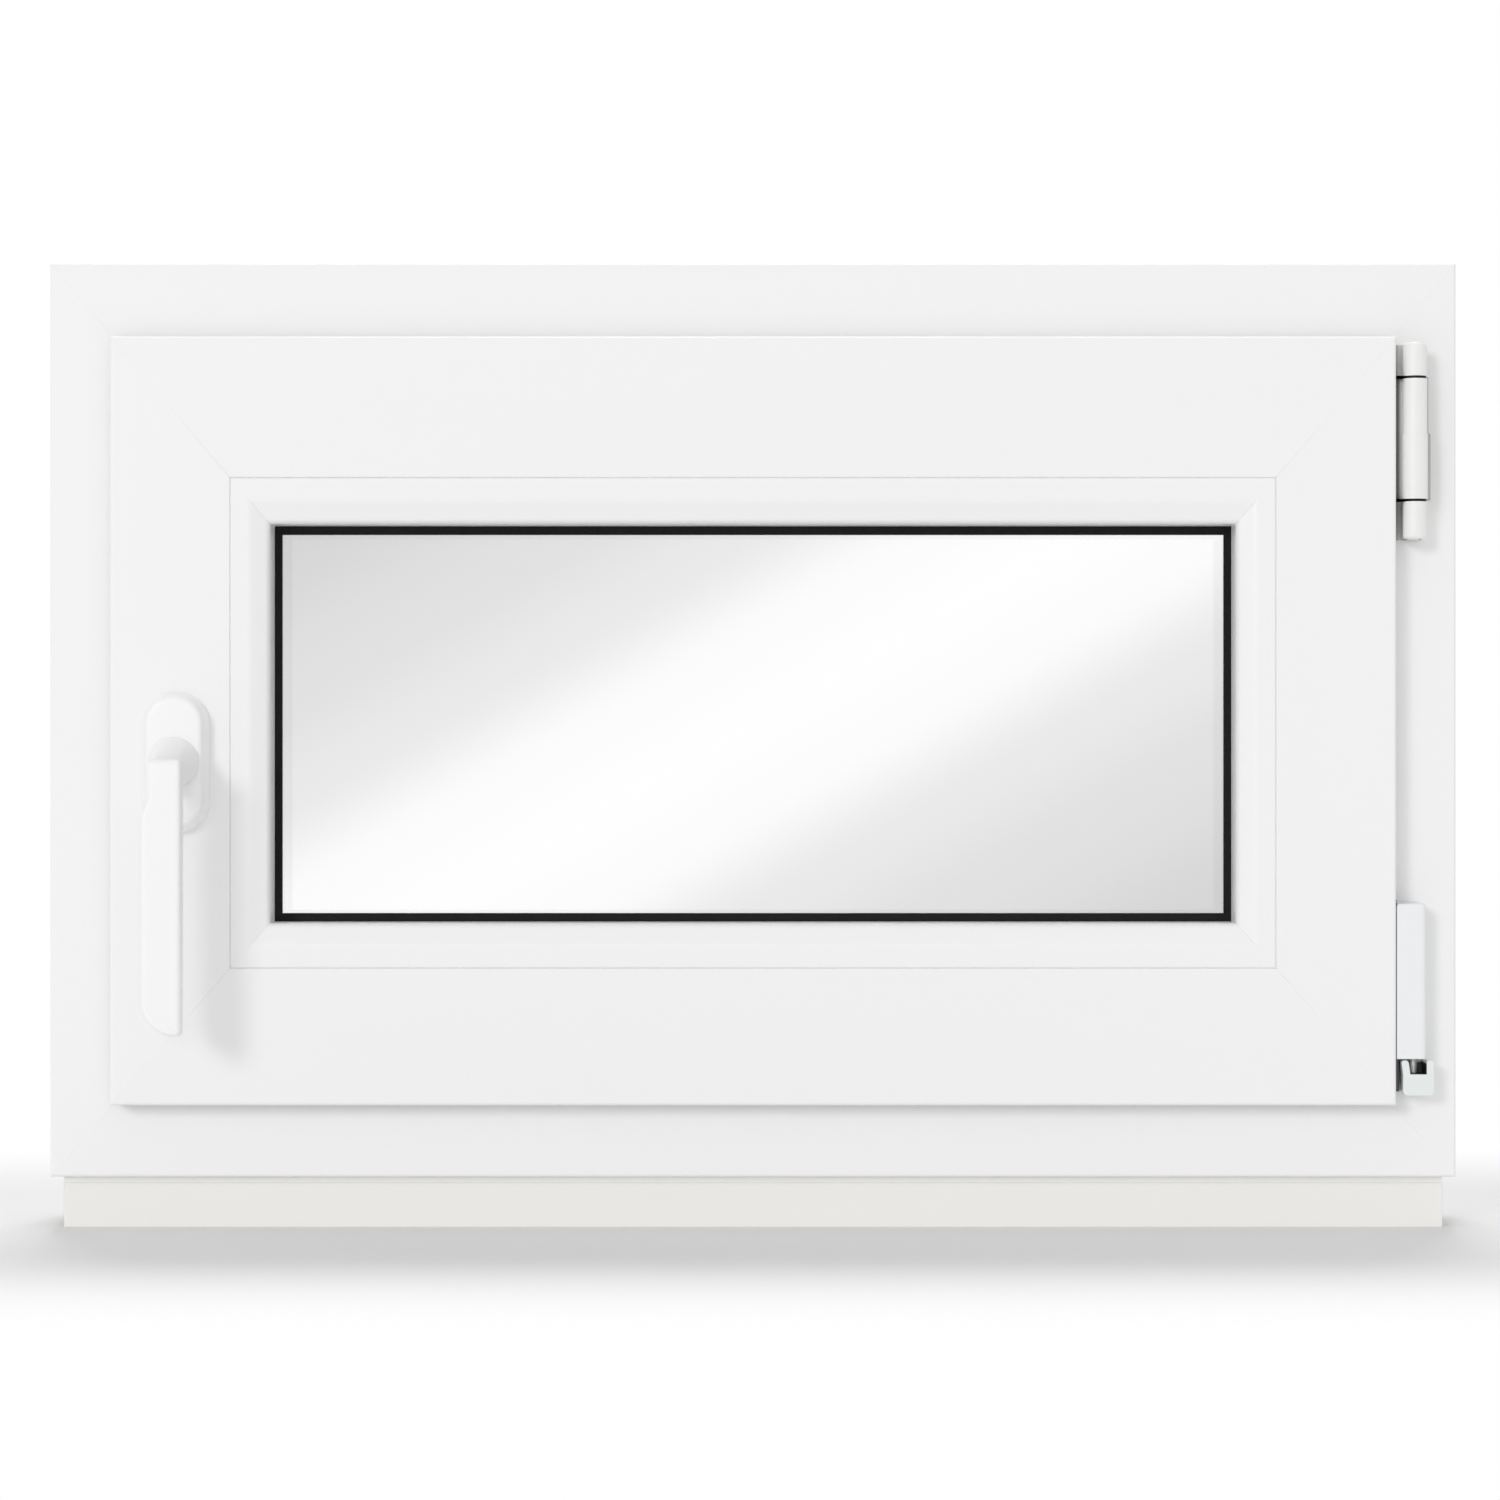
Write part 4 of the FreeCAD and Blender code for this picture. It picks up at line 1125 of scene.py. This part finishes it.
def make_fork(sizes, paint, dark):
    """The pivot fork on the frame: a bridge, two ears, and a plate between them, with painted shade on the
    faces between the ears.
    """
    low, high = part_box("pivot_block")
    bridge = high.z - sizes.ear_height
    outer_left = low.x + sizes.ear_lean
    left = outer_left + sizes.ear_width
    right = high.x - sizes.ear_width
    plate = high.y - sizes.liner
    piece = start_box("pivot_fork", (outer_left, low.y, low.z), (high.x, high.y, bridge))
    for direction, distance in ((X, left), (X, right), (Y, plate)):
        slice_at(piece, direction, distance)

    def is_between_ears(face):
        return left < middle(face).x < right

    def is_under_ear(face):
        return facing(Z)(face) and all_at(face, z=bridge) and not is_between_ears(face)

    def is_under_plate(face):
        return facing(Z)(face) and all_at(face, z=bridge) and is_between_ears(face) and middle(face).y > plate

    def is_run(edge):
        return same(edge.verts[0].co.x, edge.verts[1].co.x)

    extrude(piece, is_under_ear, (0, 0, sizes.ear_height))
    extrude(piece, is_under_plate, (0, 0, sizes.ear_height - sizes.liner))
    shift(piece, lambda vert: at(vert, z=high.z) and vert.co.x < left + TOUCH, (-sizes.ear_lean, 0, 0))
    for side in (outer_left, high.x):
        round_edges(piece, lying_at(x=side, z=low.z), sizes.fork_round, steps=5)
    round_edges(piece, lambda edge: all_at(edge, z=high.z) and is_run(edge), sizes.ear_round)
    finish_piece(piece, ["pivot_block"], paint)
    # The faces between the ears take the dark steel, which paints the shade of the cavity there
    piece.data.materials.append(dark)
    for face in piece.data.polygons:
        lined = left - TOUCH < face.center.x < right + TOUCH and face.center.z > bridge - TOUCH
        if lined and face.center.y > low.y + TOUCH:
            face.material_index = 1


def make_corner_pin(sizes, steel):
    """The steel pin between the corner cover and the fork."""
    low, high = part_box("pivot_pin")
    axis = (low + high) / 2
    radius = (high.x - low.x) / 2
    piece = start_rod("corner_pin", (axis.x, axis.y, low.z), (axis.x, axis.y, high.z), radius)
    for end in (low.z, high.z):
        round_edges(piece, lying_at(z=end), sizes.pin_chamfer, steps=1)
    finish_piece(piece, ["pivot_pin"], steel)


def make_strap(sizes, dark):
    """The strap along the sash's edge under the corner cover, in dark steel that paints the shade of the
    recess there.
    """
    low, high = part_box("lower_hinge_strap")
    piece = start_box("corner_strap", low, high)
    round_edges(piece, lying_at(x=high.x), sizes.pin_chamfer)
    finish_piece(piece, ["lower_hinge_strap"], dark)


# Operators


class TILTWINDOW_OT_frame_profiles(Operator):
    """Model the four welded lengths of the fixed frame"""

    bl_idname = "tilt_window.frame_profiles"
    bl_label = "Frame Profiles"

    def execute(self, context):
        sizes = context.scene.window_profiles
        names = {"left": "left_jamb", "right": "right_jamb", "top": "head", "bottom": "bottom_rail"}
        for side, name in names.items():
            frame_length(SIDES[side], "frame_" + name, sizes)
        return {"FINISHED"}


class TILTWINDOW_OT_sash_profiles(Operator):
    """Model the four welded lengths of the sash"""

    bl_idname = "tilt_window.sash_profiles"
    bl_label = "Sash Profiles"

    def execute(self, context):
        sizes = context.scene.window_profiles
        names = {"left": "left_stile", "right": "right_stile", "top": "top_rail", "bottom": "bottom_rail"}
        for side, name in names.items():
            sash_length(SIDES[side], "sash_" + name, sizes)
        return {"FINISHED"}


class TILTWINDOW_OT_glazing_beads(Operator):
    """Model the four glazing beads"""

    bl_idname = "tilt_window.glazing_beads"
    bl_label = "Glazing Beads"

    def execute(self, context):
        for name, side in SIDES.items():
            bead_length(side, "glazing_bead_" + name, context.scene.window_profiles)
        return {"FINISHED"}


class TILTWINDOW_OT_glass_unit(Operator):
    """Model the gaskets and finish the glass, spacer, sealant and seals"""

    bl_idname = "tilt_window.glass_unit"
    bl_label = "Glass Unit"

    def execute(self, context):
        sizes = context.scene.window_glazing
        make_gasket("inner_gasket", "inner_glazing_gasket", sizes.inner_width, sizes, room_side=True)
        make_gasket("outer_gasket", "outer_glazing_gasket", sizes.outer_width, sizes, room_side=False)
        glass = clear_glass()
        seal = rubber("seal_rubber", tuple(sizes.rubber))
        finishes = {
            "inner_glass_pane": glass,
            "outer_glass_pane": glass,
            "glass_spacer_bar": spacer_metal(),
            "edge_sealant": rubber("edge_sealant", tuple(sizes.sealant)),
            "sash_seal": seal,
            "frame_seal": seal,
        }
        for node, material in finishes.items():
            give_finish(node, material)
        return {"FINISHED"}


def give_finish(node, material):
    """Give a CAD node that is shown as it is its material."""
    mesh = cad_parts[node].data
    mesh.materials.clear()
    mesh.materials.append(material)


class TILTWINDOW_OT_sill_and_caps(Operator):
    """Model the sill profile and the outdoor drain caps"""

    bl_idname = "tilt_window.sill_and_caps"
    bl_label = "Sill and Drain Caps"

    def execute(self, context):
        sizes = context.scene.window_profiles
        make_sill(sizes)
        for side in ("left", "right"):
            make_drain_cap(side, sizes)
        return {"FINISHED"}


class TILTWINDOW_OT_handle(Operator):
    """Model the handle's base and lever, and finish its spindle"""

    bl_idname = "tilt_window.handle"
    bl_label = "Handle"

    def execute(self, context):
        sizes = context.scene.window_handle
        make_rosette(sizes, context.scene.window_profiles.bore)
        make_lever(sizes)
        steel = drawn_steel("spindle_steel", context.scene.window_hinges.steel, 0.3, 0.45)
        give_finish("handle_spindle", steel)
        return {"FINISHED"}


class TILTWINDOW_OT_hinges(Operator):
    """Model the upper bearing and the lower corner hinge"""

    bl_idname = "tilt_window.hinges"
    bl_label = "Hinges"

    def execute(self, context):
        sizes = context.scene.window_hinges
        paint = hinge_paint("bearing_paint", sizes.coat)
        fork_paint = hinge_paint("fork_paint", sizes.fork_coat)
        steel = drawn_steel("pin_steel", sizes.steel, 0.3, 0.45)
        # Dark steel that paints the shade in the joint, cavity and recess of the corner hinge
        dark = drawn_steel("painted_shade_steel", sizes.painted_shade_steel, 0.35, 0.55)
        make_knuckle(sizes, paint)
        # Paint with painted shade for the bearing's gap, on the stay arm's end and the plate behind the
        # bearing
        gap_shade_material = gap_shade_paint(sizes)
        make_sleeve(sizes, paint, gap_shade_material)
        make_sleeve_clip(sizes)
        make_hinge_cap(sizes, paint)
        make_bearing_rings(sizes, drawn_steel("joint_steel", sizes.joint_steel, 0.35, 0.5))
        make_bearing_plate(sizes, gap_shade_material)
        give_finish("upper_hinge_pin", steel)
        make_corner_cover(sizes)
        make_edge_strip(sizes, dark)
        make_fork(sizes, fork_paint, dark)
        make_corner_pin(sizes, drawn_steel("worn_pin_steel", sizes.steel, 0.5, 0.65))
        make_strap(sizes, dark)
        return {"FINISHED"}


class TILTWINDOW_OT_stage(Operator):
    """Set up the floor, the background, the lights and the camera"""

    bl_idname = "tilt_window.stage"
    bl_label = "Stage"

    def execute(self, context):
        sizes = context.scene.window_stage
        make_floor(sizes)
        make_world(sizes)
        make_light("front_light", (0, -1, 0.125), sizes.front, sizes.front_angle, mirrored=False)
        make_light("key_light", (-0.48, -1, 0.3), sizes.key, sizes.key_angle)
        make_light("top_light", (0, 0.42, 0.91), sizes.top, sizes.top_angle)
        make_camera(sizes)
        context.scene.view_settings.view_transform = "Standard"
        return {"FINISHED"}


# Stage


def make_light(name, source, brightness, width, mirrored=True):
    """A soft distant light from the direction of its source, which glass and gloss may mirror."""
    data = bpy.data.lights.new(name, "SUN")
    data.energy = brightness * math.pi
    data.angle = width
    light = bpy.data.objects.new(name, data)
    light.location = source
    light.rotation_euler = Vector(source).to_track_quat("Z", "Y").to_euler()
    light.visible_glossy = mirrored
    light.visible_transmission = mirrored
    bpy.context.scene.collection.objects.link(light)


def seen_directly(tree):
    """A factor that is 1 for what the camera, a reflection or glass shows, and 0 for scattered light."""
    path = add_node(tree, "LightPath").outputs
    seen = path["Is Camera Ray"]
    for name in ("Is Glossy Ray", "Is Transmission Ray"):
        seen = add_node(tree, "Math", {0: seen, 1: path[name]}, operation="MAXIMUM").outputs[0]
    return seen


def make_floor(sizes):
    """A pale floor that keeps the window's shadow and fades into the white background."""
    bpy.ops.object.select_all(action="DESELECT")
    bpy.ops.mesh.primitive_circle_add(vertices=96, radius=sizes.floor_size / 2, fill_type="NGON")
    floor = name_new("floor")
    material = bpy.data.materials.new("pale_floor")
    material.use_nodes = True
    tree = material.node_tree
    tree.nodes.remove(tree.nodes["Principled BSDF"])
    seen = seen_directly(tree)

    tone = mix_colours(tree, seen, sizes.bounce, sizes.floor)
    matt = add_node(tree, "BsdfDiffuse", {"Color": tone})
    strength = add_node(tree, "MapRange", {"Value": seen, "To Min": sizes.bounce_glow, "To Max": 0})
    glow = add_node(tree, "Emission", {"Strength": strength.outputs["Result"]})
    lit = add_node(tree, "AddShader", {0: matt.outputs[0], 1: glow.outputs[0]})

    outside = add_node(tree, "TexCoord").outputs["Object"]
    footprint = (FRAME_WIDTH / 2, FRAME_DEPTH / 2, 0)
    for operation, other in (("ABSOLUTE", {}), ("SUBTRACT", {1: footprint}), ("MAXIMUM", {1: (0, 0, 0)})):
        outside = add_node(tree, "VectorMath", {0: outside, **other}, operation=operation).outputs["Vector"]
    distance = add_node(tree, "VectorMath", {0: outside}, operation="LENGTH").outputs["Value"]
    fade = smooth_rise(tree, distance, sizes.fade_start, sizes.fade_end)
    shown = add_node(tree, "Math", {0: fade, 1: seen}, operation="MULTIPLY")
    white = add_node(tree, "Emission")
    blend = add_node(tree, "MixShader", {"Fac": shown.outputs[0], 1: lit.outputs[0], 2: white.outputs[0]})
    tree.links.new(blend.outputs[0], tree.nodes["Material Output"].inputs["Surface"])
    floor.data.materials.append(material)


# Slanting bands of light that glass and metal show: the direction across them, the sine of the angle from
# a band's middle to the dark beside it, the shift of the whole pattern, and its brightness
BAND_LEAN = Vector((0.5, 0, -0.866))
BAND_WIDTH = 0.09
BAND_OFFSET = 0.005
BAND_STRENGTH = 1.02

# How bright a band is, from its middle outwards
BAND_SHADES = ((0, 1.0), (0.18, 0.98), (0.42, 0.823), (0.62, 0.761), (1, 0.672))


def make_world(sizes):
    """Even light, a white background, and soft slanting bands of light for glass and metal to show."""
    world = bpy.data.worlds.new("studio")
    world.use_nodes = True
    tree = world.node_tree
    tree.nodes.clear()
    direction = add_node(tree, "TexCoord").outputs["Generated"]
    lean = add_node(tree, "VectorMath", {0: direction, 1: BAND_LEAN}, operation="DOT_PRODUCT")
    share = lean.outputs["Value"]
    for operation, value in (("ADD", BAND_OFFSET), ("PINGPONG", BAND_WIDTH), ("DIVIDE", BAND_WIDTH)):
        share = add_node(tree, "Math", {0: share, 1: value}, operation=operation).outputs[0]
    ramp = add_node(tree, "ValToRGB", {"Fac": share})
    ramp.color_ramp.interpolation = "EASE"
    stops = ramp.color_ramp.elements
    while len(stops) < len(BAND_SHADES):
        stops.new(0.5)
    for stop, (position, shade) in zip(stops, BAND_SHADES):
        stop.position = position
        stop.color = (shade, shade, shade, 1)

    path = add_node(tree, "LightPath").outputs
    bands = add_node(tree, "Background", {"Color": ramp.outputs["Color"], "Strength": BAND_STRENGTH})
    white = add_node(tree, "Background", {"Color": (1, 1, 1, 1)})
    even = add_node(tree, "Background", {"Color": (1, 1, 1, 1), "Strength": sizes.ambient})
    result = even.outputs[0]
    for name, shader in (("Is Glossy Ray", bands), ("Is Transmission Ray", bands), ("Is Camera Ray", white)):
        inputs = {"Fac": path[name], 1: result, 2: shader.outputs[0]}
        result = add_node(tree, "MixShader", inputs).outputs[0]
    add_node(tree, "OutputWorld", {"Surface": result})
    bpy.context.scene.world = world


def make_camera(sizes):
    """A level camera straight in front of the window."""
    data = bpy.data.cameras.new("camera")
    data.sensor_width = 36
    data.lens = data.sensor_width * sizes.camera_distance / sizes.view_width
    camera = bpy.data.objects.new("camera", data)
    camera.location = (sizes.camera_x, JAMB_LOW.y - sizes.camera_distance, sizes.camera_height)
    camera.rotation_euler = (math.radians(90), 0, 0)
    bpy.context.scene.collection.objects.link(camera)
    bpy.context.scene.camera = camera


# Add-on

SETTINGS = {
    "window_profiles": ProfileSettings,
    "window_glazing": GlazingSettings,
    "window_handle": HandleSettings,
    "window_hinges": HingeSettings,
    "window_stage": StageSettings,
}
OPERATORS = (
    TILTWINDOW_OT_stage,
    TILTWINDOW_OT_frame_profiles,
    TILTWINDOW_OT_sash_profiles,
    TILTWINDOW_OT_glazing_beads,
    TILTWINDOW_OT_glass_unit,
    TILTWINDOW_OT_sill_and_caps,
    TILTWINDOW_OT_handle,
    TILTWINDOW_OT_hinges,
)


class TILTWINDOW_PT_parts(Panel):
    """Lists the window's sizes and its modelling steps"""

    bl_label = "Tilt and Turn Window"
    bl_idname = "TILTWINDOW_PT_parts"
    bl_space_type = "VIEW_3D"
    bl_region_type = "UI"
    bl_category = "Window"

    def draw(self, context):
        for operator in OPERATORS:
            self.layout.operator(operator.bl_idname)
        for name, group in SETTINGS.items():
            box = self.layout.box()
            box.label(text=group.__doc__)
            for key in group.__annotations__:
                box.prop(getattr(context.scene, name), key)


CLASSES = (*SETTINGS.values(), *OPERATORS, TILTWINDOW_PT_parts)


def register():
    for item in CLASSES:
        bpy.utils.register_class(item)
    for name, group in SETTINGS.items():
        setattr(bpy.types.Scene, name, PointerProperty(type=group))


def unregister():
    for name in SETTINGS:
        delattr(bpy.types.Scene, name)
    for item in reversed(CLASSES):
        bpy.utils.unregister_class(item)


def main():
    register()
    for operator in OPERATORS:
        module, name = operator.bl_idname.split(".")
        getattr(getattr(bpy.ops, module), name)()


if __name__ == "__main__":
    main()
